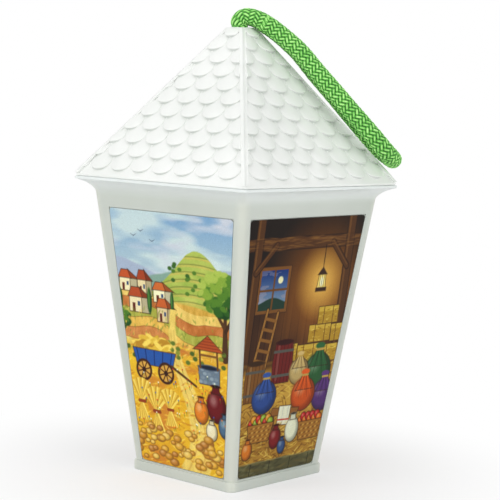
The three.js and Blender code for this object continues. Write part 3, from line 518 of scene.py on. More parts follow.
# %% The knot and its tails
knot_centre = np.array([0, 0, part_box("rope_neck")[0][2] - 8.6 * mm])
knot_wide, knot_squeeze, knot_high, knot_radius = 2.05 * mm, 0.82, 2.6 * mm, 3.4 * mm
tail_radius, tip_long = 3.75 * mm, 2.2 * mm
turn = round_angles(420)
knot_line = np.stack([
    knot_wide * (np.sin(turn) + 2 * np.sin(2 * turn)) * knot_squeeze,
    knot_wide * (np.cos(turn) - 2 * np.cos(2 * turn)) * knot_squeeze,
    -knot_high * np.sin(3 * turn),
], -1) + knot_centre
knot_tangent = unit(np.roll(knot_line, -1, 0) - np.roll(knot_line, 1, 0))
outward = knot_line - knot_centre
outward = unit(outward - knot_tangent * np.sum(outward * knot_tangent, axis=1)[:, None])
knot_run = np.concatenate([[0], np.cumsum(np.linalg.norm(np.diff(knot_line, axis=0), axis=1))])
thin = np.full(len(knot_line), knot_radius)
knot_rings, knot_height = rope_rings(
    knot_line, outward, np.cross(knot_tangent, outward), knot_run, thin, thin
)
knot_shell = (knot_rings.reshape(-1, 3), grid_faces(len(knot_line), rope_around, around=True, closed=True))


def tail(sign):
    """A short end: down from the knot, a little outwards, with a rounded tip."""
    stations = np.array([
        [0, sign * 3.0, 0], [0, sign * 4.6, -5], [0, sign * 5.0, -11], [0, sign * 5.0, -16.6],
    ])
    line, length = smooth_path(over_corner(stations) + knot_centre, 70)
    run = np.linspace(0, length, len(line))
    tip = np.clip((length - run) / tip_long, 0, 1)
    radius = tail_radius * np.sqrt(np.clip(1 - (1 - tip) ** 2, 0.02, 1))
    return rope_shell(line, run, radius, radius)


rope_knot = rope_piece("rope_knot_tied", "rope_knot", [(knot_shell, knot_height), tail(-1), tail(1)])

# %% [markdown]
# ## The body
#
# The body is one moulding, so one closed surface gives its outside, its flat top and its inside. We
# carry a square with rounded corners along a profile of heights. On each side the square has a
# shallow step, which becomes the recess that a picture film lies in.

# %% Body sizes, in millimetres
foot_half = 30.0
band_high = 4.3
wall_foot = 29.35
wall_top = 45.25
body_high = 132.0
wall_slope = (wall_top - wall_foot) / (body_high - band_high)
wall_thick = 1.8
skin = 0.9
flange_half = 51.3
flange_edge = 1.2
cove_high, cove_slant = 3.9, 1.6
body_corner, inside_corner = 3.5, 1.7
film_low, film_high = 1.1, body_high - 13.3 - band_high
foot_margin, top_margin, film_gap = 4.6, 5.2, 0.3
film_foot_half = wall_foot + wall_slope * film_low - foot_margin
film_top_half = wall_foot + wall_slope * film_high - top_margin
film_places = [(0.7, 2.0, 1.2), (-1.5, -1.0, 0.0), (0.0, 0.0, 0.0), (0.0, 0.0, 0.0)]
groove_half, groove_deep = 8.3, 0.55
boss_middle, screw_place = 23.66, 22.6


def wall_half(z):
    """Half the width of the body's wall at a height."""
    return wall_foot + wall_slope * (z - band_high)


def outer_half(z):
    """Half the width of the body's outside, which stands out to the photograph's outline."""
    return wall_half(z) + skin


def film_place(z, wall):
    """Half the width of a wall's picture at a height, and how far its middle lies aside. The wall's
    three numbers are the shift at the foot, the shift at the top, and how much narrower half of the
    top is."""
    foot_shift, top_shift, narrower = film_places[wall]
    share = (z - band_high - film_low) / (film_high - film_low)
    half = film_foot_half + (film_top_half - narrower - film_foot_half) * share
    return half, foot_shift + (top_shift - foot_shift) * share


# %% A square ring with rounded corners and a step on each side
def square_rings(halves, radii, heights, steps, depths, arc=8, shifts=0.0):
    """Rings of a rounded square, one for each height; on each side the middle part, as wide as twice
    the step, lies aside by the shift and deeper by the depth. Steps and shifts are one for each ring,
    or one for each ring and side."""
    sizes = (halves, radii, heights, depths)
    halves, radii, heights, depths = (np.asarray(v, dtype=float)[:, None] for v in sizes)
    steps = np.reshape(steps, (len(halves), -1)) * np.ones(4)
    shifts = shifts + 0 * steps
    flat_y = np.concatenate([0 * depths] + [depths] * 5 + [0 * depths], 1) - halves
    angle = np.linspace(-math.pi / 2, 0, arc + 1)[None, :]
    arc_x = halves - radii + radii * np.cos(angle)
    arc_y = -halves + radii + radii * np.sin(angle)
    flat_x = steps[..., None] * np.array([-1, -1, -0.5, 0, 0.5, 1, 1]) + shifts[..., None]
    x = [np.concatenate([flat_x[:, side], arc_x], 1) for side in range(4)]
    y = np.concatenate([flat_y, arc_y], 1)
    ring_x = np.concatenate([x[0], -y, -x[2], y], 1)
    ring_y = np.concatenate([y, x[1], -y, -x[3]], 1)
    return np.stack([ring_x, ring_y, np.broadcast_to(heights, ring_x.shape)], -1) * mm


# %% The body's rings, each (half, corner radius, height, depth of the step)
recess = 0.6
film_z0 = band_high + film_low - film_gap
film_z1 = band_high + film_high + film_gap
foot_out = foot_half + skin
outer = [
    (foot_out - 0.3, 3.3, 0.0, 0), (foot_out, body_corner, 0.35, 0), (foot_out, body_corner, 3.85, 0),
    (foot_out - 0.15, 3.4, 4.2, 0), (foot_out - 0.4, 3.4, band_high, 0), (outer_half(4.35), 3.4, 4.32, 0),
    (outer_half(4.7), body_corner, 4.7, 0), (outer_half(film_z0), body_corner, film_z0, 0),
    (outer_half(film_z0), body_corner, film_z0 + 0.02, recess),
]
outer += [(outer_half(z), body_corner, z, recess) for z in np.linspace(film_z0 + 6, film_z1 - 6, 14)]
outer += [
    (outer_half(film_z1), body_corner, film_z1 - 0.02, recess), (outer_half(film_z1), body_corner, film_z1, 0),
]
cove_foot = body_high - flange_edge - cove_high - cove_slant
cove_start = outer_half(cove_foot)
for bend in np.linspace(0, math.pi / 2, 12):
    half = flange_half - (flange_half - cove_start) * math.cos(bend)
    high = cove_high * math.sin(bend) + cove_slant * (1 - math.cos(bend))
    outer.append((half, body_corner - 2.6 * bend / (math.pi / 2), cove_foot + high, 0))
outer += [
    (flange_half, 0.9, body_high - 0.3, 0), (flange_half - 0.12, 0.8, body_high - 0.06, 0),
    (flange_half - 0.4, 0.7, body_high, 0),
]
inner = [(wall_half(body_high) - wall_thick + 0.4, 1.9, body_high, 0)]
inner += [(wall_half(z) - wall_thick, inside_corner, z, step) for z, step in (
    (131.7, 0), (129.4, 0), (129.38, -groove_deep), (127.82, -groove_deep), (127.8, 0), (120.0, 0),
    (100.0, 0), (80.0, 0), (60.0, 0), (40.0, 0), (20.0, 0), (0.3, 0),
)]
inner += [(wall_half(0) - wall_thick + 0.3, 1.9, 0.0, 0)]
rows = np.array(outer + inner)
outside = (np.arange(len(rows)) < len(outer))[:, None]
film_halves, film_shifts = np.moveaxis([film_place(rows[:, 2], wall) for wall in range(4)], 0, -1)
rings = square_rings(
    rows[:, 0], rows[:, 1], rows[:, 2], np.where(outside, film_halves + film_gap, groove_half), rows[:, 3],
    shifts=np.where(outside, film_shifts, 0),
)
body_shell = (rings.reshape(-1, 3), grid_faces(len(rows), rings.shape[1], around=True, closed=True))
print("body rings:", len(rows), "points in each:", rings.shape[1])


# %% The four screw bosses inside the foot
def boss_shell(x, y, sides=48):
    """A square post with a round hole from below: every ring's radius follows its angle, between a
    circle and a square whose radius is the half side over the larger of cosine and sine."""
    angle = round_angles(sides)
    square = 1 / (np.abs(np.cos(angle)) ** 14 + np.abs(np.sin(angle)) ** 14) ** (1 / 14)
    circle = np.ones(sides)
    hole_top, post_top = 10.6, 12.3
    stations = [
        (1.45, circle, hole_top), (1.45, circle, 4.5), (1.6, circle, 4.3), (4.2, square, 4.3),
        (4.36, square, 4.46), (4.36, square, 12.15), (4.2, square, post_top),
    ]
    hole = np.array([screw_place * x, screw_place * y])
    post = np.array([boss_middle * x, boss_middle * y])
    rings = []
    for size, outline, z in stations:
        at = hole if outline is circle else post
        ring = at + size * outline[:, None] * np.stack([np.cos(angle), np.sin(angle)], -1)
        rings.append(np.column_stack([ring, np.full(sides, z)]))
    points, faces = pole_shell(np.array(rings), [*hole, hole_top], [*post, post_top])
    return points * mm, faces


bosses = [boss_shell(x, y) for x in (-1, 1) for y in (-1, 1)]
body_points, body_faces = join_shells([body_shell, *bosses])
print("points with the four bosses:", len(body_points))

# %% [markdown]
# Milky plastic lets some light in and gives it back softened, which a little subsurface light does.
# Its tone drifts slightly between a grey green and a warmer white. The cove and the flange get a
# painted light that makes them whiter towards the top. Along the four corners a painted light makes
# it a little warmer and lighter: there the distances from the middle in X and in Y are nearly equal,
# so their difference is the mask. The recesses of the two walls in the photograph lie a little nearer
# to the corner between them.

# %% Body material and piece
milky, milky_tree, milky_shader = new_material(
    "milky plastic",
    Roughness=0.42,
    Subsurface_Weight=0.12,
    Subsurface_Radius=(0.004, 0.004, 0.0035),
    Subsurface_Scale=1.0,
    Specular_IOR_Level=0.45,
)
milky_tone = drift_tone(milky_tree, 18.0, (199, 206, 197), (206, 212, 204))
milky_place = add_node(milky_tree, "SeparateXYZ", {0: place_on(milky_tree)}).outputs
out_x, out_y = [maths(milky_tree, "ABSOLUTE", milky_place[axis]) for axis in "XY"]
from_corner = maths(milky_tree, "ABSOLUTE", maths(milky_tree, "SUBTRACT", out_x, out_y))
# Painted light: the four corners are made lighter and warmer than the walls between them.
off_corner = ramp(milky_tree, from_corner, 0.0005, 0.006)
wall_painted_corner_light = mixed(milky_tree, off_corner, colour(215, 219, 208), milky_tone)
# Painted light: the cove and the flange are made whiter towards the top.
flange_painted_light = ramp(milky_tree, milky_place["Z"], 0.1235, 0.1305)
fill(milky_shader, {"Base Color": mixed(milky_tree, flange_painted_light, wall_painted_corner_light, colour(236, 242, 240))})
grained(milky_tree, milky_shader)
piece("lantern_body_shell", body_points, body_faces, milky, "lantern_body", "body_shell")

# %% [markdown]
# The walls lean outwards and the roof's slopes lean inwards. On both it is easier to work flat: across,
# up the slope and outwards. These helpers lay such points on one of the four sides.

# %% Flat points laid on a side
def quarter_turned(x, y, z, turns):
    """Points of the side that looks towards -Y, turned about Z by quarter turns, in metres."""
    x, y = [(x, y), (-y, x), (-x, -y), (y, -x)][turns]
    return np.stack([x, y, z], -1) * mm


def slope_frame(points, turns, half, z, slope):
    """Points (across, up the slope, outwards) on a slope that starts at this half width and height
    and leans in by the slope for each step up."""
    across_it, up_it, out_of_it = np.moveaxis(points, -1, 0)
    length = math.hypot(slope, 1)
    y = -half + up_it * slope / length - out_of_it / length
    return quarter_turned(across_it, y, z + up_it / length + out_of_it * slope / length, turns)


# %% [markdown]
# ## Brushes for the pictures
#
# Each wall carries a printed film: two show a sunny hill country in yellows, greens and pale blue, and
# two the dark inside of a barn. The designs are our own. The film is a fine grid of points, and each
# point knows its place in the picture, so we paint with arrays: every shape is a mask from 0 to 1 that
# blends a colour in, and later shapes lie over earlier ones, as in a print built up layer by layer.

# %% Noise for the brushes
def lattice_noise(x, y, scale, seed, stretch=1.0):
    """Random numbers on a square lattice, blended between its points by the smooth step 3t^2 - 2t^3;
    stretch squeezes the lattice along y."""
    table = np.random.default_rng(seed).random((64, 64))
    u, v = x * scale + 23.7, y * scale * stretch + 11.3
    i, j = np.floor(u).astype(int), np.floor(v).astype(int)
    f, g = u - i, v - j
    f, g = f * f * (3 - 2 * f), g * g * (3 - 2 * g)
    i0, i1, j0, j1 = i % 64, (i + 1) % 64, j % 64, (j + 1) % 64
    low = table[i0, j0] * (1 - f) + table[i1, j0] * f
    high = table[i0, j1] * (1 - f) + table[i1, j1] * f
    return low * (1 - g) + high * g


def rough_noise(x, y, scale, seed, stretch=1.0):
    """Three layers of lattice noise, each twice as fine and half as strong as the one before, about
    0.5 on average."""
    layers = [lattice_noise(x, y, scale * 2**n, seed + n, stretch) / 2**n for n in range(3)]
    return sum(layers) / 1.75


# %% The canvas and its brushes
def blended(first, second, share):
    """Two colours mixed by a share from 0 to 1."""
    return np.asarray(first, float) * (1 - share) + np.asarray(second, float) * share


def near(distance, wide):
    """A mask that is 1 on a line and falls evenly to 0 at a distance from it."""
    return np.clip(1 - np.abs(distance) / wide, 0, 1)


def seams(running):
    """A mask of fine lines halfway between the whole numbers that a running number passes."""
    return np.clip(np.abs(running % 1 - 0.5) - 0.44, 0, 1) * 12


def box(x0, y0, x1, y1):
    """The corners of an upright rectangle."""
    return [(x0, y0), (x1, y0), (x1, y1), (x0, y1)]


def taper(x, low, high, half_low, half_high):
    """The corners of a shape that is the same on both sides of x and gets wider or narrower upwards."""
    return [(x - half_low, low), (x + half_low, low), (x + half_high, high), (x - half_high, high)]


class Canvas:
    """Colours from 0 to 255 at the points of a picture; x counts from the middle and y from the foot,
    in picture heights."""

    def __init__(self, x, y, seed):
        self.x, self.y, self.size = x, y, 1.0
        self.rgb = np.zeros((*x.shape, 3))
        self.dice = np.random.default_rng(seed)

    def thing(self, x, y, size):
        """The same colours and dice for one thing: its places and widths count in its own size, from
        the middle of its foot, but soft edges and fine lines stay as wide as elsewhere."""
        own = copy.copy(self)
        own.x, own.y, own.size = (self.x - x) / size, (self.y - y) / size, size
        return own

    def between(self, low, high):
        """The rows of points from one height to another, as a slice."""
        first, last = np.searchsorted(self.y[:, 0], (low, high))
        return slice(max(first - 1, 0), last + 1)

    def blend(self, mask, rgb, window=slice(None)):
        """Moves each colour in the window towards the given one by the mask's share."""
        share = np.clip(mask, 0, 1)[..., None]
        self.rgb[window] += (np.asarray(rgb, dtype=float) - self.rgb[window]) * share

    def wash(self, low, high, rgb_low, rgb_high):
        """Fills all between two heights with a colour that changes evenly from the low one to the high
        one."""
        share = np.clip((self.y - low) / (high - low), 0, 1)[..., None]
        self.blend(self.y >= low, blended(rgb_low, rgb_high, share))

    def below(self, height, rgb, soft=0.004):
        """Fills what lies under a line given as one height for each point."""
        self.blend((height - self.y) / soft + 0.5, rgb)

    def ellipse(self, cx, cy, rx, ry, rgb, turn=0.0, soft=0.004, strength=1.0):
        """An ellipse: one minus the distance in radii, times the smaller radius, is the depth inside
        its edge."""
        soft = soft / self.size
        reach = max(rx, ry) * (1 + soft / min(rx, ry))
        window = self.between(cy - reach, cy + reach)
        dx, dy = self.x[window] - cx, self.y[window] - cy
        u = (dx * math.cos(turn) + dy * math.sin(turn)) / rx
        v = (dy * math.cos(turn) - dx * math.sin(turn)) / ry
        depth = (1 - np.hypot(u, v)) * min(rx, ry)
        self.blend(np.clip(depth / soft + 0.5, 0, 1) * strength, rgb, window)

    def shape(self, corners, rgb, soft=0.003, strength=1.0, grow=0.0):
        """A shape with only outward corners, given anticlockwise: the least distance to its sides is
        the depth."""
        soft, grow = soft / self.size, grow / self.size
        levels = [corner[1] for corner in corners]
        window = self.between(min(levels) - grow - soft, max(levels) + grow + soft)
        x, y = self.x[window], self.y[window]
        depth = np.full(x.shape, np.inf)
        for (x0, y0), (x1, y1) in zip(corners, corners[1:] + corners[:1]):
            long = math.hypot(x1 - x0, y1 - y0)
            side = ((y - y0) * (x1 - x0) - (x - x0) * (y1 - y0)) / long
            depth = np.minimum(depth, side)
        self.blend(np.clip((depth + grow) / soft + 0.5, 0, 1) * strength, rgb, window)

    def stroke(self, start, end, wide, rgb, soft=0.0025, strength=1.0, thin=0.3):
        """A brush stroke: the distance to a line, against a half width that thins towards its end."""
        (x0, y0), (x1, y1) = start, end
        window = self.between(min(y0, y1) - wide, max(y0, y1) + wide)
        x, y = self.x[window] - x0, self.y[window] - y0
        along = x * (x1 - x0) + y * (y1 - y0)
        share = np.clip(along / ((x1 - x0) ** 2 + (y1 - y0) ** 2), 0, 1)
        away = np.hypot(x - share * (x1 - x0), y - share * (y1 - y0))
        half = wide / 2 * (1 - (1 - thin) * share)
        self.blend(np.clip((half - away) * self.size / soft + 0.5, 0, 1) * strength, rgb, window)

    def bar(self, start, end, wide, rgb, strength=1.0):
        """A stroke that keeps its width."""
        self.stroke(start, end, wide, rgb, strength=strength, thin=1.0)

    def outlined(self, corners, rgb):
        """A shape with a fine dark line round it."""
        self.shape(corners, (60, 40, 30), grow=0.003, strength=0.8)
        self.shape(corners, rgb)

    def rounded(self, cx, cy, rx, ry, rgb, line=(56, 38, 30)):
        """A round thing with a dark edge, a shaded lower right and a light upper left."""
        rgb, edge, soft = np.asarray(rgb, float), 0.003 / self.size, rx * self.size
        self.ellipse(cx, cy, rx + edge, ry + edge, line, strength=0.85)
        self.ellipse(cx, cy, rx, ry, rgb * 0.72)
        self.ellipse(cx - rx * 0.14, cy + ry * 0.1, rx * 0.84, ry * 0.86, rgb, soft=soft * 0.35)
        light = rgb * 0.55 + 112
        self.ellipse(cx - rx * 0.32, cy + ry * 0.36, rx * 0.36, ry * 0.34, light, soft=soft * 0.4, strength=0.7)

    def flecks(self, count, low, high, tones, length, wide, tilt=0.0, spread=0.35, strength=0.6):
        """Many short strokes at random places between two heights; each keeps to the small window of
        points round it."""
        for _ in range(count):
            cy = self.dice.uniform(low, high)
            cx = self.dice.uniform(-0.34, 0.34)
            angle = tilt + self.dice.normal(0, spread)
            long = length * self.dice.uniform(0.5, 1.3)
            window = self.between(cy - long, cy + long)
            dx, dy = self.x[window] - cx, self.y[window] - cy
            u = dx * math.cos(angle) + dy * math.sin(angle)
            v = dy * math.cos(angle) - dx * math.sin(angle)
            mask = np.clip(1.5 - np.hypot(u / (long / 2), v / (wide / 2)), 0, 1) * strength
            self.blend(mask, tones[self.dice.integers(len(tones))], window)


print("brushes:", [name for name in vars(Canvas) if not name.startswith("_")])

# %% [markdown]
# ## The hill country
#
# From the top down: sky with drifting clouds, far lavender hills, a terraced green hill with a small
# village, fields in strips, a winding path, and a golden meadow with a cart, a well, jars and sheaves.

# %% Things in the hill country
def house(c, x, y, wide, high, wall, roof):
    """A small house: a lit wall, a shaded side, a low roof, a door and a window."""
    wall, roof = np.asarray(wall, float), np.asarray(roof, float)
    split = x + wide * 0.62
    c.outlined(box(x, y, split, y + high), wall)
    c.outlined(box(split, y, x + wide, y + high), wall * 0.78)
    eave = y + high * 0.97
    edge, peak = (split + wide * 0.04, eave), (split - wide * 0.1, y + high * 1.55)
    c.outlined([(x - wide * 0.06, eave), edge, peak, (x + wide * 0.12, peak[1])], roof)
    c.outlined([edge, (x + wide * 1.05, eave), peak], roof * 0.76)
    door, pane = x + wide * 0.14, x + wide * 0.4
    c.shape(box(door, y, door + wide * 0.14, y + high * 0.55), (104, 50, 42))
    c.shape(box(pane, y + high * 0.4, pane + wide * 0.12, y + high * 0.68), (64, 84, 124))


def leafy_tree(c, x, y, size, tones, leaves=170):
    """A trunk with two boughs, and a crown of leaves that get lighter towards the upper left."""
    t = c.thing(x, y, size)
    t.stroke((0, 0), (0.06, 1), 0.16, (84, 58, 40))
    t.stroke((0.03, 0.55), (-0.3, 1), 0.09, (92, 64, 42))
    t.stroke((0.04, 0.5), (0.34, 0.95), 0.08, (74, 50, 36))
    for n in range(leaves):
        angle = c.dice.uniform(0, 2 * math.pi)
        far = math.sqrt(c.dice.random()) * 0.55
        cx, cy = far * math.cos(angle), far * 0.72 * math.sin(angle)
        light = 0.5 - 0.5 * cx + 0.7 * cy + n / leaves * 0.3 - 0.2
        tone = tones[int(np.clip(light, 0, 0.99) * len(tones))]
        t.ellipse(cx, cy + 1.15, 0.085, 0.05, tone, c.dice.uniform(-0.9, 0.9), strength=0.9)


def cart(c, x, y, size):
    """A blue cart on two spoked wheels, loaded with hay."""
    t = c.thing(x, y, size)
    for n in range(46):
        cx = c.dice.uniform(-0.42, 0.42)
        cy = 0.52 + 0.3 * c.dice.random() * (1 - (2 * cx) ** 2)
        tone = [(226, 184, 76), (246, 214, 110), (190, 140, 54)][n % 3]
        t.ellipse(cx, cy, 0.13, 0.045, tone, c.dice.uniform(-0.6, 0.9))
    low, high = 0.28, 0.54
    t.outlined(taper(0, low, high, 0.42, 0.5), (52, 92, 172))
    for n in range(5):
        at = 0.18 * n - 0.36
        t.bar((at, low), (at * 1.16, high), 0.022, (34, 58, 120))
    t.stroke((0.4, low + 0.04), (0.95, 0.06), 0.05, (96, 62, 38), thin=0.8)
    for at in (-0.26, 0.26):
        t.ellipse(at, 0.18, 0.19, 0.19, (70, 42, 30))
        t.ellipse(at, 0.18, 0.145, 0.145, (216, 166, 84))
        for spoke in range(4):
            dx, dy = (0.15 * way(spoke * math.pi / 4 + 0.3) for way in (math.cos, math.sin))
            t.bar((at - dx, 0.18 - dy), (at + dx, 0.18 + dy), 0.025, (92, 54, 34))
        t.ellipse(at, 0.18, 0.045, 0.045, (60, 36, 28))


def well(c, x, y, size):
    """A round well of grey blue stones under a small tiled roof on two posts."""
    t = c.thing(x, y, size)
    t.outlined(taper(0, 0, 0.4, 0.3, 0.33), (112, 126, 150))
    for row in range(4):
        for n in range(5):
            cx = (n + 0.5 * (row % 2)) * 0.14 - 0.28
            if cx < 0.27:
                t.ellipse(cx, 0.05 + row * 0.1, 0.06, 0.04, np.array([150, 162, 182]) - 18 * ((row + n) % 3))
    t.ellipse(0, 0.4, 0.34, 0.07, (84, 96, 120))
    t.ellipse(0, 0.4, 0.27, 0.045, (34, 40, 58))
    for at in (-0.27, 0.27):
        t.bar((at, 0.38), (at, 0.86), 0.055, (108, 70, 42))
    t.bar((-0.27, 0.68), (0.27, 0.68), 0.05, (128, 86, 50))
    t.outlined([(-0.45, 0.8), (0.45, 0.8), (0, 1.14)], (178, 84, 48))
    for n in range(1, 5):
        half, level = 0.45 * (1 - n / 5), 0.8 + 0.068 * n
        t.bar((-half, level), (half, level), 0.014, (118, 50, 34))


def jar(c, x, y, size, tone):
    """A jar: a round belly, a short neck and a lip."""
    t, tone = c.thing(x, y, size), np.asarray(tone, float)
    t.rounded(0, 0.42, 0.32, 0.42, tone)
    t.outlined(taper(0, 0.76, 0.94, 0.13, 0.1), tone * 0.9)
    t.ellipse(0, 0.95, 0.17, 0.045, tone * 0.6)
    t.ellipse(0, 0.96, 0.11, 0.025, (40, 28, 26))


def sheaf(c, x, y, size):
    """A sheaf of wheat: stalks that fan out above and below a tie."""
    t = c.thing(x, y, size)
    for n in range(15):
        lean = (n - 7) / 7
        tone = [(232, 190, 84), (206, 156, 58), (248, 216, 116)][n % 3]
        t.stroke((0, 0.42), (lean * 0.2, 0), 0.055, tone, thin=0.8)
        t.stroke((0, 0.42), (lean * 0.34, 0.95 - 0.16 * lean * lean), 0.06, tone, thin=1.1)
    t.bar((-0.09, 0.42), (0.09, 0.42), 0.08, (150, 70, 40))


# %% The hill country as a whole
def hill_country(x, y, seed, mirror):
    """The picture painted from far to near; mirror is 1 or -1 and turns it round, and the seed changes
    clouds, fields and leaves."""
    c = Canvas(x * mirror, y, seed)
    x, y = c.x, c.y
    c.wash(0.0, 1.0, (196, 207, 220), (140, 172, 214))
    c.wash(0.7, 1.0, (196, 209, 222), (130, 164, 210))
    c.blend(np.clip((rough_noise(x, y, 3.2, seed, 4.5) - 0.54) * 5, 0, 0.8), (216, 225, 234))
    c.blend((rough_noise(x, y, 5.5, seed + 7, 3.5) - 0.58) * 4, (204, 206, 230))
    for level, swing, waves, turn, fine, more, rgb, soft in (
        (0.775, 0.03, 9, 0, 9, 0, (170, 180, 212), 0.01), (0.745, 0.035, 6, 2.2, 12, 2, (138, 166, 160), 0.008),
    ):
        ridge = level + swing * np.sin(waves * x + turn + seed) + 0.02 * rough_noise(x, y, fine, seed + more)
        c.below(ridge, rgb, soft)
    hill = 0.66 + 0.2 * np.exp(-(((x - 0.13) / 0.17) ** 2)) + 0.015 * rough_noise(x, y, 14, seed + 3)
    c.below(hill, blended([150, 176, 84], [206, 204, 116], rough_noise(x, y, 16, seed + 4, 2.0)[..., None]))
    for n in range(7):
        curve = 0.845 - 0.028 * n - 0.9 * (x - 0.13) ** 2 - 0.012 * n * np.abs(x)
        c.blend(near(y - curve, 0.0035) * (y < hill) * 0.75, (122, 116, 66))
        c.blend(near(y - curve + 0.007, 0.005) * (y < hill) * 0.5, (226, 176, 104))
    for n in range(26):
        cx = c.dice.uniform(-0.04, 0.3)
        cy = c.dice.uniform(0.7, 0.82) - 0.9 * (cx - 0.13) ** 2
        c.ellipse(cx, cy, 0.011, 0.008, [(66, 104, 50), (92, 128, 56)][n % 2])
    slope = y + 0.2 * x + 0.02 * np.sin(17 * x) + 0.03 * rough_noise(x, y, 7, seed + 5)
    tones = np.array([
        [214, 168, 84], [232, 196, 116], [196, 122, 70], [176, 174, 86], [228, 184, 96],
        [206, 136, 84], [224, 204, 130], [166, 158, 74], [218, 160, 88], [236, 206, 132],
    ])
    strip = (0.72 - slope) * 24
    grainy = (rough_noise(x, y, 60, seed + 6, 0.5)[..., None] - 0.5) * 46
    field = tones[np.clip(strip.astype(int), 0, 9)] + grainy
    c.below(0.66 - 0.2 * x + 0.02 * np.sin(8 * x), field, 0.01)
    c.blend(seams(strip) * (y < 0.64 - 0.2 * x) * (y > 0.4), (140, 84, 50))
    for place in (
        (-0.29, 0.68, 0.095, 0.052, (244, 228, 196), (196, 92, 54)),
        (-0.19, 0.67, 0.075, 0.062, (236, 214, 178), (170, 76, 50)),
        (-0.105, 0.65, 0.1, 0.05, (250, 238, 210), (208, 112, 62)),
        (-0.24, 0.6, 0.11, 0.062, (240, 222, 190), (182, 84, 52)),
        (-0.09, 0.575, 0.09, 0.058, (228, 202, 164), (202, 104, 60)),
    ):
        house(c, *place)
    for place in ((-0.13, 0.6, 0.1), (-0.29, 0.6, 0.085), (-0.008, 0.62, 0.075)):
        t = c.thing(*place)
        t.ellipse(0, 0.5, 0.13, 0.5, (38, 78, 48))
        t.ellipse(-0.03, 0.55, 0.06, 0.4, (84, 128, 66))
    c.blend((0.5 - y) * 12, (224, 178, 74))
    golden = blended([222, 164, 52], [238, 194, 60], rough_noise(x, y, 11, seed + 8, 2.2)[..., None])
    c.blend((0.49 - y) * 14, golden)
    c.blend(np.clip((rough_noise(x, y, 6, seed + 9, 3.0) - 0.56) * 9, 0, 1) * (y < 0.5) * 0.6, (196, 112, 62))
    centre = 0.03 + 0.1 * np.sin(7.4 * y + 0.4) * (1 - y)
    half = 0.016 + 0.12 * np.clip(0.62 - y, 0, 1) ** 1.4
    path = np.clip((half - np.abs(x - centre)) / 0.008 + 0.5, 0, 1) * (y < 0.63)
    c.blend(path, np.array([236, 204, 118]) + grainy * 0.6)
    for rut in (-0.42, 0.38):
        c.blend(near(x - centre - rut * half, 0.1 * half + 0.001) * (y < 0.55) * 0.55, (204, 152, 78))
    straws = [(248, 214, 88), (208, 142, 44), (240, 196, 66), (198, 122, 46), (250, 224, 124)]
    c.flecks(620, 0.0, 0.5, straws, 0.03, 0.006, 0.1)
    c.flecks(150, 0.42, 0.62, [(150, 158, 68), (122, 132, 60), (232, 200, 110)], 0.018, 0.006, 1.3)
    leaf = [(34, 72, 38), (58, 100, 44), (92, 132, 54), (140, 168, 72), (176, 192, 96)]
    leafy_tree(c, 0.255, 0.47, 0.21, leaf)
    leafy_tree(c, -0.3, 0.44, 0.11, [(44, 84, 42), (84, 124, 52), (136, 164, 70)], 90)
    for n in range(30):
        cx, cy = c.dice.uniform(-0.27, 0.27), c.dice.uniform(0.42, 0.5)
        c.ellipse(cx, cy, 0.012, 0.009, [(104, 122, 56), (140, 146, 66), (84, 104, 50)][n % 3])
    cart(c, -0.12, 0.33, 0.23)
    well(c, 0.17, 0.36, 0.165)
    for place in (
        (0.2, 0.215, 0.15, (112, 34, 40)), (0.12, 0.2, 0.11, (226, 132, 52)), (0.24, 0.16, 0.1, (86, 112, 146)),
        (0.17, 0.14, 0.085, (236, 222, 196)),
    ):
        jar(c, *place)
    for place in ((-0.2, 0.17, 0.17), (-0.12, 0.135, 0.18), (-0.045, 0.165, 0.15)):
        sheaf(c, *place)
    for n in range(64):
        cy = c.dice.uniform(0.015, 0.15)
        size = c.dice.uniform(0.011, 0.023)
        tone = [(226, 172, 76), (210, 150, 66), (238, 196, 104), (196, 134, 70)][n % 4]
        c.rounded(c.dice.uniform(-0.23, 0.23), cy, size, size * 0.62, tone, line=(150, 96, 42))
    for n in range(70):
        cx, cy = c.dice.uniform(-0.27, 0.27), c.dice.uniform(0.16, 0.4)
        tone = [(206, 52, 44), (250, 248, 240), (70, 96, 190), (240, 120, 40)][n % 4]
        c.ellipse(cx, cy, 0.0032, 0.0032, tone)
        c.stroke((cx, cy - 0.003), (cx + 0.002, cy - 0.016), 0.0025, (84, 112, 50))
    for at, level in ((-0.2, 0.9), (-0.16, 0.92), (-0.1, 0.885)):
        for wing in ((at - 0.016, level + 0.007), (at + 0.016, level + 0.008)):
            c.stroke((at, level), wing, 0.003, (84, 92, 120))
    return c.rgb


# %% [markdown]
# ## The inside of a barn
#
# A plank wall in half light with a window full of evening sky, a glowing lantern on a beam, a ladder,
# stacked bales, a barrel, sacks in several colours, baskets of apples, straw on the floor and a stone
# sill at the foot.

# %% Things in the barn
def bale(c, x, y, wide, high):
    """A bale of hay: a block with a lighter top edge, straws and two strings."""
    c.outlined(box(x, y, x + wide, y + high), (188, 148, 60))
    c.shape(box(x, y + high * 0.72, x + wide, y + high), (222, 186, 86), strength=0.8)
    for n in range(26):
        cx, cy = x + wide * c.dice.uniform(0.04, 0.9), y + high * c.dice.uniform(0.06, 0.94)
        tone = [(236, 206, 110), (150, 110, 42), (206, 168, 74)][n % 3]
        c.stroke((cx, cy), (cx + wide * 0.12, cy + high * c.dice.uniform(-0.08, 0.08)), 0.0035, tone)
    for at in (0.27, 0.73):
        c.bar((x + wide * at, y), (x + wide * at, y + high), 0.004, (110, 74, 40))


def sack(c, x, y, size, tone):
    """A full sack: a wide foot, folds that run to its tied neck, and an open ruffle."""
    t, tone = c.thing(x, y, size), np.asarray(tone, float)
    t.rounded(0, 0.38, 0.42, 0.4, tone)
    t.outlined(taper(0, 0.5, 0.86, 0.3, 0.09), tone)
    for n in range(5):
        lean = (n - 2) / 2
        fold = tone * (0.62 if n % 2 else 1.22)
        t.stroke((lean * 0.06, 0.84), (lean * 0.3, 0.3), 0.035, fold, strength=0.7)
    t.ellipse(0, 0.93, 0.15, 0.07, tone * 1.12)
    t.bar((-0.1, 0.85), (0.1, 0.85), 0.05, (198, 164, 96))


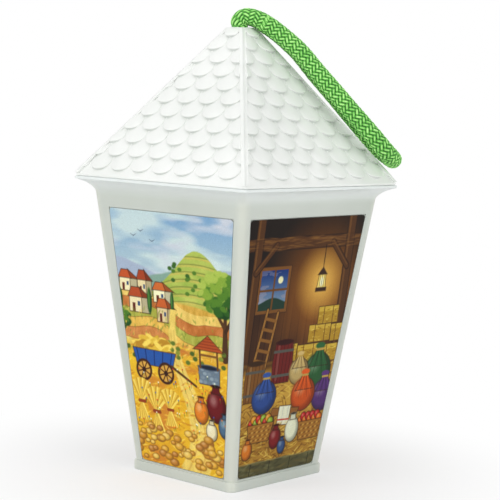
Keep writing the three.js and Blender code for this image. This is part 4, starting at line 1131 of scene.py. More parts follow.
def barrel(c, x, y, size, tone):
    """A barrel with staves and two hoops."""
    t, tone = c.thing(x, y, size), np.asarray(tone, float)
    t.outlined([(-0.3, 0), (0.3, 0), (0.36, 0.5), (0.3, 1), (-0.3, 1), (-0.36, 0.5)], tone)
    for n in range(-2, 3):
        t.bar((n * 0.12, 0), (n * 0.135, 1), 0.02, tone * 0.55, strength=0.8)
    t.bar((-0.17, 0.1), (-0.18, 0.9), 0.08, tone * 0.7 + 80, strength=0.45)
    for level in (0.18, 0.78):
        t.bar((-0.33, level), (0.33, level), 0.07, (96, 92, 92))
    t.ellipse(0, 1, 0.31, 0.07, tone * 0.5)


def basket(c, x, y, size, fruit):
    """A woven basket heaped with fruit."""
    t = c.thing(x, y, size)
    for n in range(9):
        t.rounded(0.085 * n - 0.34, 0.48 + 0.09 * (n % 2), 0.1, 0.1, fruit[n % len(fruit)])
    t.outlined(taper(0, 0, 0.44, 0.34, 0.46), (170, 118, 58))
    for row in range(4):
        for n in range(9):
            at, level = (n + 0.5 * (row % 2)) * 0.085 - 0.36, 0.06 + 0.1 * row
            weave = (214, 166, 92) if n % 2 else (124, 80, 40)
            t.stroke((at, level), (at + 0.05, level + 0.012), 0.05, weave, strength=0.8)


# %% The barn as a whole
def barn_inside(x, y, seed, mirror):
    """The picture painted from far to near; mirror is 1 or -1 and turns it round, and the seed changes
    wood, straw and shadows."""
    c = Canvas(x * mirror, y, seed)
    x, y = c.x, c.y
    streak = rough_noise(x, y, 46, seed, 0.08)[..., None]
    c.blend(np.ones_like(x), blended([66, 42, 27], [108, 70, 42], streak))
    plank = (x + 0.4) / 0.046
    c.blend(np.array([0.0, 0.28, 0.1, 0.36, 0.18])[np.floor(plank).astype(int) % 5], (52, 32, 22))
    c.blend(seams(plank), (34, 20, 16))
    c.blend(np.clip((y - 0.56) * 3.4, 0, 0.9), (30, 21, 17))
    c.ellipse(0.12, 0.745, 0.18, 0.16, (206, 128, 54), soft=0.3, strength=0.8)
    c.ellipse(0.12, 0.745, 0.1, 0.1, (255, 206, 116), soft=0.12, strength=0.7)
    left, low, wide, high = -0.235, 0.655, 0.15, 0.15
    frame_wide = 0.014
    c.outlined(
        box(left - frame_wide, low - frame_wide, left + wide + frame_wide, low + high + frame_wide),
        (132, 88, 50),
    )
    inside = ((x > left) & (x < left + wide) & (y > low) & (y < low + high)).astype(float)
    dusk = np.clip((y - low) / high, 0, 1)[..., None]
    c.blend(inside, blended([150, 172, 206], [34, 62, 132], dusk))
    c.blend(inside * (rough_noise(x, y, 12, seed + 1, 3.0) > 0.58) * 0.35, (196, 170, 190))
    hedge = low + 0.035 + 0.012 * np.sin(30 * x)
    c.blend(inside * np.clip((hedge - y) / 0.004, 0, 1), (40, 66, 58))
    c.ellipse(left + 0.11, low + 0.112, 0.014, 0.014, (248, 240, 206))
    c.bar((left + wide / 2, low), (left + wide / 2, low + high), 0.009, (118, 78, 44))
    c.bar((left, low + high * 0.5), (left + wide, low + high * 0.5), 0.009, (118, 78, 44))
    for x0, y0, x1, y1, thick in (
        (-0.36, 0.905, 0.36, 0.905, 0.044), (-0.27, 0.0, -0.27, 1.0, 0.04), (0.262, 0.2, 0.262, 1.0, 0.045),
        (-0.27, 0.8, -0.17, 0.9, 0.022), (0.262, 0.8, 0.16, 0.9, 0.022),
    ):
        c.bar((x0, y0), (x1, y1), thick + 0.008, (36, 22, 16), strength=0.8)
        c.bar((x0, y0), (x1, y1), thick, (92, 60, 37))
        dx, dy = (thick * 0.26, 0) if abs(x1 - x0) < 0.02 else (0, thick * 0.26)
        c.bar((x0 - dx, y0 + dy), (x1 - dx, y1 + dy), thick * 0.22, (132, 90, 54), strength=0.7)
    c.flecks(160, 0.88, 0.93, [(84, 54, 32), (140, 98, 58)], 0.05, 0.004, 0.0, 0.05)
    c.bar((0.12, 0.89), (0.12, 0.795), 0.004, (30, 20, 16))
    c.outlined(taper(0.12, 0.72, 0.775, 0.024, 0.018), (255, 226, 140))
    c.ellipse(0.12, 0.745, 0.01, 0.02, (255, 250, 224))
    c.outlined([(0.096, 0.775), (0.144, 0.775), (0.12, 0.8)], (66, 44, 34))
    c.outlined(box(0.09, 0.709, 0.15, 0.72), (66, 44, 34))
    for at in (0.108, 0.12, 0.132):
        c.bar((at, 0.72), (at, 0.775), 0.002, (84, 56, 36))
    floor_line = 0.445 + 0.01 * rough_noise(x, y, 20, seed + 2)
    straw = rough_noise(x, y, 24, seed + 3, 2.4)[..., None]
    c.below(floor_line, blended([154, 108, 50], [200, 154, 74], straw), 0.01)
    c.blend(near(y - 0.435, 0.03) * 0.7, (62, 38, 24))
    c.ellipse(0.02, 0.3, 0.2, 0.09, (224, 180, 92), soft=0.12, strength=0.6)
    straws = [(228, 192, 96), (196, 150, 66), (128, 86, 40), (240, 210, 124), (104, 66, 32)]
    c.flecks(700, 0.03, 0.42, straws, 0.036, 0.0045, 0.1, 0.6, 0.75)
    for start, end in (((-0.235, 0.36), (-0.175, 0.655)), ((-0.165, 0.345), (-0.115, 0.64))):
        c.bar(start, end, 0.016, (44, 28, 20))
        c.bar(start, end, 0.011, (168, 120, 68))
    for n in range(7):
        up = 0.08 + n * 0.135
        rung = (-0.235 + 0.06 * up, 0.36 + 0.295 * up), (-0.165 + 0.05 * up, 0.345 + 0.295 * up)
        c.bar(*rung, 0.012, (148, 102, 56))
    for place in (
        (0.03, 0.43, 0.13), (0.17, 0.42, 0.14), (-0.045, 0.44, 0.07),
        (0.085, 0.505, 0.13), (0.22, 0.5, 0.1), (0.13, 0.575, 0.12),
    ):
        bale(c, *place, 0.068)
    # These flecks have no strength; they stay because the throws after them follow from theirs.
    c.flecks(120, 0.64, 0.68, [(236, 206, 110), (206, 168, 74)], 0.03, 0.005, 0.8, 0.7, 0.0)
    barrel(c, -0.05, 0.36, 0.16, (116, 40, 38))
    barrel(c, -0.2, 0.3, 0.15, (132, 88, 48))
    for place in (
        (0.17, 0.31, 0.19, (52, 96, 62)), (0.055, 0.345, 0.13, (196, 168, 120)),
        (0.225, 0.22, 0.16, (92, 60, 126)), (-0.13, 0.25, 0.16, (58, 84, 158)),
        (0.1, 0.235, 0.165, (206, 92, 44)),
    ):
        sack(c, *place)
    c.outlined([(-0.08, 0.232), (0.075, 0.22), (0.085, 0.246), (-0.07, 0.26)], (150, 100, 56))
    for at in (-0.06, 0.06):
        c.bar((at, 0.225), (at + 0.006, 0.165), 0.012, (112, 72, 42))
    c.outlined([(-0.035, 0.19), (0.03, 0.186), (0.036, 0.26), (-0.03, 0.264)], (236, 232, 222))
    for n in range(4):
        at, tone = 0.015 * n, (176, 178, 190) if n % 2 else (250, 250, 250)
        c.stroke((-0.022 + at, 0.258), (-0.024 + at, 0.2), 0.003, tone, strength=0.8)
    c.bar((-0.034, 0.21), (0.031, 0.206), 0.006, (196, 60, 52))
    c.flecks(260, 0.045, 0.2, [(232, 196, 100), (186, 138, 60), (120, 80, 38)], 0.034, 0.004, 0.1, 0.6, 0.8)
    basket(c, -0.13, 0.135, 0.16, [(206, 48, 40), (232, 150, 50), (150, 176, 60)])
    basket(c, 0.165, 0.11, 0.165, [(226, 116, 40), (196, 44, 44)])
    for place in (
        (0.06, 0.11, 0.12, (238, 236, 226)), (-0.035, 0.095, 0.1, (134, 42, 46)),
        (0.01, 0.07, 0.07, (70, 94, 150)), (-0.19, 0.07, 0.085, (222, 128, 54)),
    ):
        jar(c, *place)
    c.below(0.052 + 0.003 * np.sin(40 * x), (96, 92, 68))
    c.flecks(120, 0.0, 0.05, [(124, 120, 92), (74, 70, 54), (112, 100, 66)], 0.04, 0.008, 0.0, 0.2)
    for at in (-0.16, -0.05, 0.07, 0.18):
        c.bar((at, 0.0), (at + 0.004, 0.05), 0.003, (46, 42, 34))
    c.bar((-0.3, 0.052), (0.3, 0.052), 0.004, (150, 140, 104), strength=0.7)
    return c.rgb


# %% [markdown]
# The film is cut to the wall's taper with small round corners and lies in its recess. Its points are
# fine enough for the smallest stroke. The painted colours are kept on the mesh as an attribute, and
# the finish adds what a print has: a satin coat, a little waviness and tiny specks.

# %% Film material
printed, print_tree, print_shader = new_material("printed film", Roughness=0.5, Specular_IOR_Level=0.14)
speck_tone = ramp(print_tree, noise(print_tree, 2600.0, 2.0), 0.25, 0.75, 0.9, 1.08)
print_inputs = {0: stored(print_tree, "print", "Color"), 1: speck_tone}
speckled = add_node(print_tree, "VectorMath", print_inputs, operation="MULTIPLY")
fill(print_shader, {"Base Color": speckled.outputs[0]})
bump_on(print_tree, print_shader, noise(print_tree, 45.0, 2.0), 0.4, 0.0004)

# %% The film as a grid and its rim
film_rows, film_columns, film_thick, film_corner = 375, 215, 0.3, 1.6
middle_tone, contrast, back_tone = 118, 1.15, 225.0


def film_piece(name, node, turns, paint, seed, mirror, ink):
    """Rows run up the wall and columns across it; near the top and foot each row is drawn in by a
    quarter circle, and a ring and a fan close the back."""
    stretch = math.hypot(wall_slope, 1)
    low, high = film_low * stretch, film_high * stretch
    v = np.linspace(low, high, film_rows)[:, None]
    from_end = np.clip(film_corner - np.minimum(v - low, high - v), 0, film_corner)
    drawn_in = film_corner - np.sqrt(np.clip(film_corner**2 - from_end**2, 0, None))
    half, shift = film_place(band_high + v / stretch, turns)
    u = (half - drawn_in) * np.linspace(-1, 1, film_columns)[None, :]
    front = np.stack([u + shift, v + 0 * u, 0 * u], -1).reshape(-1, 3)
    index = np.arange(len(front)).reshape(u.shape)
    ring = np.concatenate([index[0, :-1], index[:-1, -1], index[-1, :0:-1], index[:0:-1, 0]])
    back_ring = np.arange(len(ring)) + len(front)
    rim = np.stack([ring, back_ring, np.roll(back_ring, -1), np.roll(ring, -1)], -1)
    faces = [grid_faces(*u.shape), rim, fan_faces(back_ring[::-1], len(front) + len(ring))]
    flat = np.concatenate([front, front[ring] - [0, 0, film_thick], [[0, (low + high) / 2, -film_thick]]])
    points = slope_frame(flat, turns, wall_foot + skin, band_high, -wall_slope)
    film = piece(name, points, np.concatenate(faces), printed, "lantern_body", node, sharp=40)
    tall = high - low
    rgb = paint(u / tall, (v - low) / tall + 0 * u, seed, mirror).reshape(-1, 3)
    rgb = ((rgb - middle_tone) * contrast + middle_tone) * np.array(ink)
    linear = linear_light(np.concatenate([rgb, np.full((len(ring) + 1, 3), back_tone)]))
    colours = np.concatenate([linear, np.ones((len(linear), 1))], 1)
    layer = film.data.attributes.new("print", "FLOAT_COLOR", "POINT")
    layer.data.foreach_set("color", colours.astype(np.float32).ravel())


day = ("film_blue", hill_country, (0.96, 0.985, 0.92))
night = ("film_brown", barn_inside, (0.88, 0.9, 0.82))
for turns, (name, node, (slot, paint, ink), seed, mirror) in enumerate((
    ("picture_hill_country", "picture_film_front", day, 11, 1),
    ("picture_barn", "picture_film_right", night, 21, 1),
    ("picture_hill_country_back", "picture_film_back", day, 31, -1),
    ("picture_barn_left", "picture_film_left", night, 41, -1),
)):
    film_piece(name, node, turns, paint, seed, mirror, ink)

# %% [markdown]
# ## The roof
#
# The roof is one moulding too. Its plain form is again a square carried along a closed profile: up
# the outside of the skirt, out under the eave, over its thin edge, up the slope, through the rope's
# hole and back down inside. The tiles and the hip ridges are laid over it.

# %% Roof sizes and plain form
eave_z = 136.8
roof_rise = 62.9
apex_z = eave_z + roof_rise
hip_eave, hip_apex = 49.0, 4.9
slab_eave, slab_apex = 48.1, 4.36
slab_slope = (slab_eave - slab_apex) / roof_rise
slab_length = math.hypot(slab_eave - slab_apex, roof_rise)
slab_lean = (slab_eave - slab_apex) / slab_length
skirt_low, skirt_top, roof_wall = 132.3 - 6, 133.9, 1.6
roof_inner = roof_wall * slab_length / roof_rise
bead_z, bead_half, bead_proud = body_high - 3.4, 8.0, 0.25


def slab_half(z):
    """Half the width of the roof's slabs at a height."""
    return slab_apex + slab_slope * (apex_z - z)


def skirt_half(z):
    """Half the width of the skirt's outside at a height."""
    return wall_half(z) - wall_thick - 0.4


skirt_levels = [skirt_low, bead_z - 0.5, bead_z - 0.25, bead_z + 0.25, bead_z + 0.5, 131.9]
profile = [(skirt_half(z), inside_corner, z) for z in skirt_levels]
profile += [
    (skirt_half(132.0) + 0.2, inside_corner, 132.06), (50.4, 0.8, 132.06), (50.75, 0.9, 132.2),
    (50.82, 0.9, 132.45), (50.85, 0.8, 132.9), (50.72, 0.6, 133.12), (slab_half(133.4), 0.4, 133.4),
]
slab_levels = (134.2, 136.8, 138.0, 150.0, 165.0, 180.0, 192.0, apex_z - 0.1)
profile += [(slab_half(z), 0.15, z) for z in slab_levels]
profile += [(4.35, 0.15, apex_z), (4.2, 0.1, apex_z - 0.15), (4.2, 0.1, 197.6)]
profile += [(slab_half(z) - roof_inner, 0.1, z) for z in (196.6, 185.0, 165.0, 150.0, 137.2)]
profile += [(46.1, 0.1, 136.5), (46.1, 0.1, skirt_top)]
profile += [(skirt_half(z) - roof_wall, inside_corner, z) for z in (skirt_top, skirt_low)]
profile = np.array(profile)
proud = np.zeros(len(profile))
proud[[2, 3]] = -bead_proud
steps = np.where(np.arange(len(profile)) < len(skirt_levels), bead_half, profile[:, 0] * 0.8)
plain = square_rings(profile[:, 0], profile[:, 1], profile[:, 2], steps, proud, arc=4)
plain_shell = (plain.reshape(-1, 3), grid_faces(len(profile), plain.shape[1], around=True, closed=True))
print("roof profile stations:", len(profile))

# %% [markdown]
# The tiles are fish scales: each has a rounded foot, stands proud of the row below and dives under
# the row above. All tiles of one slope are worked out together as one block of numbers, tile by
# level by column. The hip ridges cover their cut edges.

# %% Places of the fish-scale tiles
tile_wide, tile_gap, tile_pitch, tile_step, tile_fade = 12.82, 1.1, 7.31, 1.1, 9.5
first_foot = -2.1
tile_rows = int((slab_length - 1 - first_foot) / tile_pitch) + 1
hip_cover = 1.5
least_seen = 1.2
tile_half = (tile_wide - tile_gap) / 2
tile_deep = tile_half * 0.75
tile_places = []
for row in range(tile_rows):
    foot = first_foot + row * tile_pitch
    shift = tile_wide / 2 if row % 2 else 0
    reach = slab_eave - slab_lean * foot
    most = int((reach + tile_half - shift) / tile_wide) + 1
    for step in range(-most - 1, most + 1):
        middle = step * tile_wide + shift
        if abs(middle) - tile_half < reach - hip_cover - least_seen:
            tile_places.append((middle, foot))
tile_places = np.array(tile_places)
print("tiles on one slope:", len(tile_places))


# %% The tiles as one block
def lip_height(u, middle, foot):
    """Where a tile's lip lies up the slope: half an ellipse that is lowest at the tile's middle."""
    bow = np.sqrt(np.clip(1 - ((u - middle) / tile_half) ** 2, 0, 1))
    return foot + tile_deep * (1 - bow)


def tile_block(places, columns=15):
    """Tiles as (tile, level, column) grids of (across, up, out), and the share of painted shade at each
    point: on a tile's lip, and a painted shadow on what lies just under the next row's lip. The face is
    a shallow pillow that thins upwards until it sinks into the slope, the lip is rounded, each level is
    cut at the hip, and the last levels gather under the next row's lip."""
    middle = places[:, 0][:, None, None]
    foot = places[:, 1][:, None, None]
    share = -np.cos(np.linspace(0, math.pi, columns))[None, None, :]
    levels = np.array([
        # up from the lip, up from the next row's lip, drop of the lip's edge, painted shade at the lip
        [0.0, 0, 1.6, 1], [0.0, 0, 0.3, 1], [0.1, 0, 0.09, 0.6], [0.28, 0, 0, 0.12], [0.7, 0, 0, 0],
        [0, -1.5, 0, 0], [0, -0.8, 0, 0], [0, -0.3, 0, 0], [0, 0.3, 0, 0], [0, 1.2, 0, 0],
    ])
    from_lip, from_next, drop, shade_at_lip = levels.T[:, None, :, None]
    by_lip = np.arange(len(levels))[None, :, None] < 5
    limit_low = slab_eave - slab_lean * foot - hip_cover
    left = np.maximum(middle - tile_half, -limit_low)
    wide = np.maximum(np.minimum(middle + tile_half, limit_low) - left, 0.05)
    u0 = left + wide * (share + 1) / 2
    beside = np.where(u0 > middle, middle + tile_wide / 2, middle - tile_wide / 2)
    following = lip_height(u0, beside, foot + tile_pitch)
    up = np.where(by_lip, lip_height(u0, middle, foot) + from_lip, following + from_next)
    up = np.minimum(up, slab_length - 0.4)
    limit = np.maximum(slab_eave - slab_lean * up - hip_cover, 0.3)
    left = np.clip(np.broadcast_to(middle - tile_half, up.shape), -limit, limit - 0.05)
    right = np.clip(np.broadcast_to(middle + tile_half, up.shape), -limit + 0.05, limit)
    u = left + (right - left) * (share + 1) / 2
    pillow = 0.28 * np.clip(1 - ((u - middle) / tile_half) ** 2, 0, 1)
    aside = np.clip((u - middle) / tile_half, -1, 1) ** 2
    high = tile_step * (1 - 0.62 * aside) * (1 - (up - foot) / tile_fade) + pillow - drop
    # Painted shadow on what lies just under each lip of the next row.
    shade_under_next = np.exp(-((np.minimum(up - following, 0) / 0.85) ** 2))
    room = slab_eave - slab_lean * (foot + tile_pitch) - hip_cover - least_seen
    last = foot > first_foot + (tile_rows - 1.5) * tile_pitch
    shade_under_next = np.where((np.abs(beside) - tile_half < room) & ~last, shade_under_next, 0.0)
    shade_under_next = 0.75 * shade_under_next * (1 - 0.85 * np.clip((u - beside) / tile_half, -1, 1) ** 2)
    return np.stack([u, up, high], -1), np.where(by_lip, shade_at_lip * (1 - 0.7 * aside), shade_under_next)


tile_grid, tile_crease = tile_block(tile_places)


def tile_shell(turns):
    """All tiles of one slope, each closed by a flat back inside the slab."""
    back = tile_grid[:, ::-1].copy()
    back[..., 2] = -1.0
    whole = np.concatenate([tile_grid, back], 1)
    tiles, levels, columns, _ = whole.shape
    front = np.arange(levels // 2) * columns
    behind = (levels - 1) * columns - front
    low_side = np.stack([front[:-1], front[1:], behind[1:], behind[:-1]], -1)
    high_side = (low_side + columns - 1)[:, ::-1]
    one = np.concatenate([grid_faces(levels, columns, closed=True), low_side, high_side])
    faces = (one[None] + (np.arange(tiles) * levels * columns)[:, None, None]).reshape(-1, 4)
    return slope_frame(whole.reshape(-1, 3), turns, slab_eave, eave_z, slab_slope), faces


tile_shells = [tile_shell(n) for n in range(4)]
print("tile faces:", sum(len(faces) for _, faces in tile_shells))

# %% Hip ridges
hip_levels, hip_low, hip_widest, hip_inside = 24, 133.5, 51.15, 2.6
hip_back = np.array([2.2, 2.17, 2.06, 1.9, 1.72, 1.55, 1.0, 0.42, 0.26, 0.1, 0.0])
hip_deep = np.array([1.7, 0.3, -0.04, -0.14, -0.08, 0.08, 0.06, 0.0, 0.02, 0.16, 0.2])
# Painted shade along the hip's outer edges and in its groove at the corner.
hip_crease = np.array([0.5, 0.5, 0.2, 0, 0, 0, 0, 0.1, 0.4, 0.8, 0.8])


def hip_shell(turns):
    """A band over one corner. Its section is given for one side, as steps back from the corner and
    depths under the corner's planes, with a groove at the corner and a fine bead at the edge; the
    other side is its mirror."""
    z = np.linspace(hip_low, apex_z - 0.02, hip_levels)[:, None]
    half = np.minimum(hip_apex + (hip_eave - hip_apex) * (apex_z - z) / roof_rise, hip_widest)
    back = np.minimum(1.0, half * 0.75 / hip_back[0]) * hip_back
    left = np.stack([half - back, hip_deep - half], -1)
    right = np.stack([half - hip_deep, back - half], -1)[:, -2::-1]
    inside = np.stack([half - hip_inside, hip_inside - half], -1)
    x, y = np.moveaxis(np.concatenate([left, right, inside], 1), -1, 0)
    rings = quarter_turned(x, y, z + 0 * x, turns)
    return pole_shell(rings, rings[0].mean(0), rings[-1].mean(0))


hip_shells = [hip_shell(n) for n in range(4)]
hip_shade_values = np.append(np.tile([*hip_crease, *hip_crease[-2::-1], 0], hip_levels), [0, 0])
print("points of one hip ridge:", len(hip_shells[0][0]))

# %% Roof material and piece
roof_white, roof_tree, roof_shader = new_material(
    "white roof plastic",
    Roughness=0.38,
    Subsurface_Weight=0.08,
    Subsurface_Radius=(0.003, 0.003, 0.003),
    Subsurface_Scale=1.0,
)
roof_tone = drift_tone(roof_tree, 25.0, (243, 246, 242), (250, 252, 249))
# Painted shade: the stored values darken the tiles' lips, the slab under them and the hips.
creased = maths(roof_tree, "MULTIPLY", stored(roof_tree, "crease"), 0.48)
fill(roof_shader, {"Base Color": mixed(roof_tree, creased, roof_tone, colour(176, 184, 176))})
grained(roof_tree, roof_shader)
roof_points, roof_faces = join_shells([plain_shell] + tile_shells + hip_shells)
roof = piece("tiled_roof", roof_points, roof_faces, roof_white, "lid", "roof", sharp=40)
# Painted shade values for every point: none on the plain form and on the tiles' backs.
tile_shade_values = np.concatenate([tile_crease, 0 * tile_crease], 1).ravel()
keep_values(roof, "crease", np.concatenate([
    np.zeros(len(plain_shell[0])), np.tile(tile_shade_values, 4), np.tile(hip_shade_values, 4),
]))

# %% [markdown]
# ## The base unit
#
# A unit that the photograph doesn't show closes the foot: a plate with a bay for three cells, their
# contacts, a slide switch, and a lamp on a small board under a frosted cup. Its plate, door, switch
# and board are cut boxes, so a softened copy of the packed mesh suits them best: we merge its loose
# triangles and let a Bevel modifier round the edges, as a mould does. The rest is new: round things
# are a profile turned about an axis, sheet metal is an outline with a thickness, and wires and
# springs are tubes along a line.

# %% Helpers for turned and tubed shells
def turned_shell(profile, sides=40):
    """Profile points (radius, height) turned about Z; the first and the last lie on the axis and
    become poles."""
    profile = np.asarray(profile, dtype=float)
    angle = round_angles(sides)
    radius, height = profile[1:-1, :1], profile[1:-1, 1:]
    rings = np.stack([radius * np.cos(angle), radius * np.sin(angle), height + 0 * angle], -1)
    return pole_shell(rings, [0, 0, profile[0, 1]], [0, 0, profile[-1, 1]])


def tube_shell(line, radius, sides=12):
    """A round tube: at each point of the line a circle of the radius given for that point, square to
    the line."""
    start = line[1] - line[0]
    _, side, other = carried_frames(line, np.cross(start, start[[1, 2, 0]] + [0.1, 0.2, 0.3]))
    angle = round_angles(sides)[None, :, None]
    radius = (np.zeros(len(line)) + radius)[:, None, None]
    rings = line[:, None] + radius * (np.cos(angle) * side[:, None] + np.sin(angle) * other[:, None])
    return pole_shell(rings, line[0], line[-1])


def moved(shell, shift, turn=np.eye(3)):
    """A shell turned by a 3 by 3 matrix and then shifted."""
    points, faces = shell
    return points @ np.asarray(turn, dtype=float).T + np.asarray(shift, dtype=float), faces


def inner_piece(name, shells, material, node, sharp=35):
    """A piece inside the body, from shells in millimetres; also returns its points in millimetres."""
    points, faces = join_shells(shells)
    return piece(name, points * mm, faces, material, "lantern_body", node, sharp), points


upside_down = np.diag([1, -1, -1])
z_to_x = np.array([[0, 0, 1], [0, 1, 0], [-1, 0, 0]])
z_to_minus_x = np.array([[0, 0, -1], [0, 1, 0], [1, 0, 0]])


# %% Softened copies of packed nodes
def softened(name, node, material, body, width):
    """A copy of a node's mesh, its loose triangles merged at equal points, with a fine bevel of this
    width in millimetres on its edges."""
    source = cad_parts[node].data
    co = np.empty(len(source.vertices) * 3, dtype=np.float32)
    source.vertices.foreach_get("co", co)
    corner = np.empty(len(source.loops), dtype=np.int32)
    source.loops.foreach_get("vertex_index", corner)
    keys = np.round(co.reshape(-1, 3) / 2e-6).astype(np.int64)
    _, first, merged = np.unique(keys, axis=0, return_index=True, return_inverse=True)
    three = merged.ravel()[corner].reshape(-1, 3)
    three = three[np.all(three != np.roll(three, -1, 1), axis=1)]
    mesh = mesh_of(name, co.reshape(-1, 3)[first], np.concatenate([three, three[:, 2:]], 1), material)
    work = bmesh.new()
    work.from_mesh(mesh)
    bmesh.ops.dissolve_limit(work, angle_limit=math.radians(0.6), verts=work.verts[:], edges=work.edges[:])
    work.to_mesh(mesh)
    work.free()
    thing = in_scene(name, mesh)
    bevel = thing.modifiers.new("round edges", "BEVEL")
    bevel.width = width * mm
    bevel.segments = 2
    bevel.limit_method = "ANGLE"
    bevel.angle_limit = math.radians(38)
    bevel.harden_normals = True
    hand_over(thing, body, node)
    print(f"{name}: {len(mesh.vertices)} points, {len(mesh.polygons)} faces before the bevel")


# %% [markdown]
# The plate and the door are the same white plastic, a little duller than the roof. The switch is
# black. The board is a green laminate: rings of bare metal round its holes and a few strips of
# copper under the green come from distances in Object coordinates.

# %% Plastics of the plate and the switch
base_white = moulded("base plastic", (222, 225, 220), (231, 233, 229), 0.48, 60.0)
switch_black = moulded("switch plastic", (24, 24, 26), (34, 34, 36), 0.45, 300.0)


def band(tree, value, centre, half, soft):
    """A window with soft edges: 1 where a coordinate is within half of the centre, in millimetres."""
    away = maths(tree, "ABSOLUTE", maths(tree, "SUBTRACT", value, centre * mm))
    return ramp(tree, away, (half + soft) * mm, half * mm)


# %% Board material, in millimetres: pads (x, y, radius) and strips (x, y, half sides)
lamp_lead, resistor_lead, resistor_y = 1.27, 5.08, 4.6
screw_x = 7.5
pad_places = (
    (-screw_x, 0, 2.0), (screw_x, 0, 2.0), (-lamp_lead, 0, 1.1), (lamp_lead, 0, 1.1),
    (-resistor_lead, resistor_y, 1.1), (resistor_lead, resistor_y, 1.1), (-7.4, -4.6, 1.3), (-7.4, 4.2, 1.3),
)
strip_places = (
    (3.2, 4.6, 2.0, 0.5), (-1.27, -2.3, 0.5, 2.4), (-4.3, -4.6, 3.2, 0.5), (1.27, 2.3, 0.5, 2.4),
    (-6.2, 4.4, 1.2, 0.5),
)
laminate, board_tree, board_shader = new_material("green laminate", Roughness=0.4)
board_place = add_node(board_tree, "SeparateXYZ", {0: place_on(board_tree)}).outputs
board_flat = add_node(board_tree, "CombineXYZ", {"X": board_place["X"], "Y": board_place["Y"]}).outputs[0]
pads = strips = 0.0
for x, y, size in pad_places:
    ends = {0: board_flat, 1: (x * mm, y * mm, 0)}
    away = add_node(board_tree, "VectorMath", ends, operation="DISTANCE").outputs["Value"]
    pads = maths(board_tree, "MAXIMUM", ramp(board_tree, away, (size + 0.1) * mm, size * mm), pads)
for x, y, half_x, half_y in strip_places:
    inside_x = band(board_tree, board_place["X"], x, half_x, 0.08)
    inside_y = band(board_tree, board_place["Y"], y, half_y, 0.08)
    strips = maths(board_tree, "MAXIMUM", maths(board_tree, "MULTIPLY", inside_x, inside_y), strips)
weave = noise(board_tree, 900.0, 2.0)
plain_green = mixed(board_tree, ramp(board_tree, weave, 0.3, 0.7), colour(24, 92, 52), colour(34, 112, 64))
stripped = mixed(board_tree, strips, plain_green, colour(70, 148, 78))
fill(board_shader, {
    "Base Color": mixed(board_tree, pads, stripped, colour(206, 204, 198)),
    "Metallic": maths(board_tree, "MULTIPLY", pads, 0.9),
})
raised = maths(board_tree, "ADD", strips, pads)
raised = maths(board_tree, "ADD", raised, maths(board_tree, "MULTIPLY", weave, 0.2))
bump_on(board_tree, board_shader, raised, 0.6, 0.00005)

# %% The plate, the door, the switch and the board
softened("base_plate_and_bay", "base_housing", base_white, "lantern_body", 0.16)
softened("battery_door_panel", "battery_door", base_white, "door", 0.16)
softened("slide_switch_case", "switch_body", switch_black, "lantern_body", 0.1)
softened("slide_switch_knob", "switch_slider", switch_black, "slider", 0.1)
softened("lamp_board", "circuit_board", laminate, "lantern_body", 0.06)

# %% [markdown]
# Screws, contacts and bare wire ends are bright metal. Plating is never even: its gloss and tone
# change slightly from place to place. Pieces that are part metal and part something else carry a
# value "bare" on the mesh, 1 where the metal shows, and their finish mixes the two by it.

# %% Metal
plating, give, take = new_group(
    "plated metal", {"Scale": ("Float", 400.0)}, {"Color": "Color", "Roughness": "Float"}
)
blotch = noise(plating, give["Scale"], 4.0)
fill(take, {
    "Color": mixed(plating, ramp(plating, blotch, 0.3, 0.7), colour(186, 184, 178), colour(214, 213, 208)),
    "Roughness": ramp(plating, blotch, 0.3, 0.7, 0.24, 0.4),
})
tinned, tin_tree, tin_shader = new_material("tinned steel", Metallic=1.0)
tin = use_group(tin_tree, plating)
fill(tin_shader, {"Base Color": tin["Color"], "Roughness": tin["Roughness"]})
grained(tin_tree, tin_shader, 0.3, 0.00001)
print("metal finish ready")


# %% The mix of metal with another finish
def partly_bare(name, tone_of, roughness, **sockets):
    """A finish whose own tone gives way to plated metal where the mesh says bare; tone_of(tree)
    returns the tone's socket."""
    material, tree, shader = new_material(name, **sockets)
    bare = stored(tree, "bare")
    metal = use_group(tree, plating, Scale=500.0)
    rough = maths(tree, "MULTIPLY", bare, maths(tree, "SUBTRACT", metal["Roughness"], roughness))
    fill(shader, {
        "Base Color": mixed(tree, bare, tone_of(tree), metal["Color"]),
        "Metallic": bare,
        "Roughness": maths(tree, "ADD", rough, roughness),
    })
    grained(tree, shader, 0.4, 0.00001)
    return material


def drifting(low, high):
    """A tone function for partly_bare: the shared drift between two colours."""
    return lambda tree: drift_tone(tree, 300.0, low, high)


def keep_bare(thing, count, jacket):
    """Marks all but the first points of a piece, those of its jacket, as bare."""
    keep_values(thing, "bare", np.arange(count) >= jacket)


# %% [markdown]
# A pan head screw has a domed head with a cross in it and a thread on its shank. The thread is the
# turned shank with its radius swelled by a saw tooth that climbs one pitch in each turn.

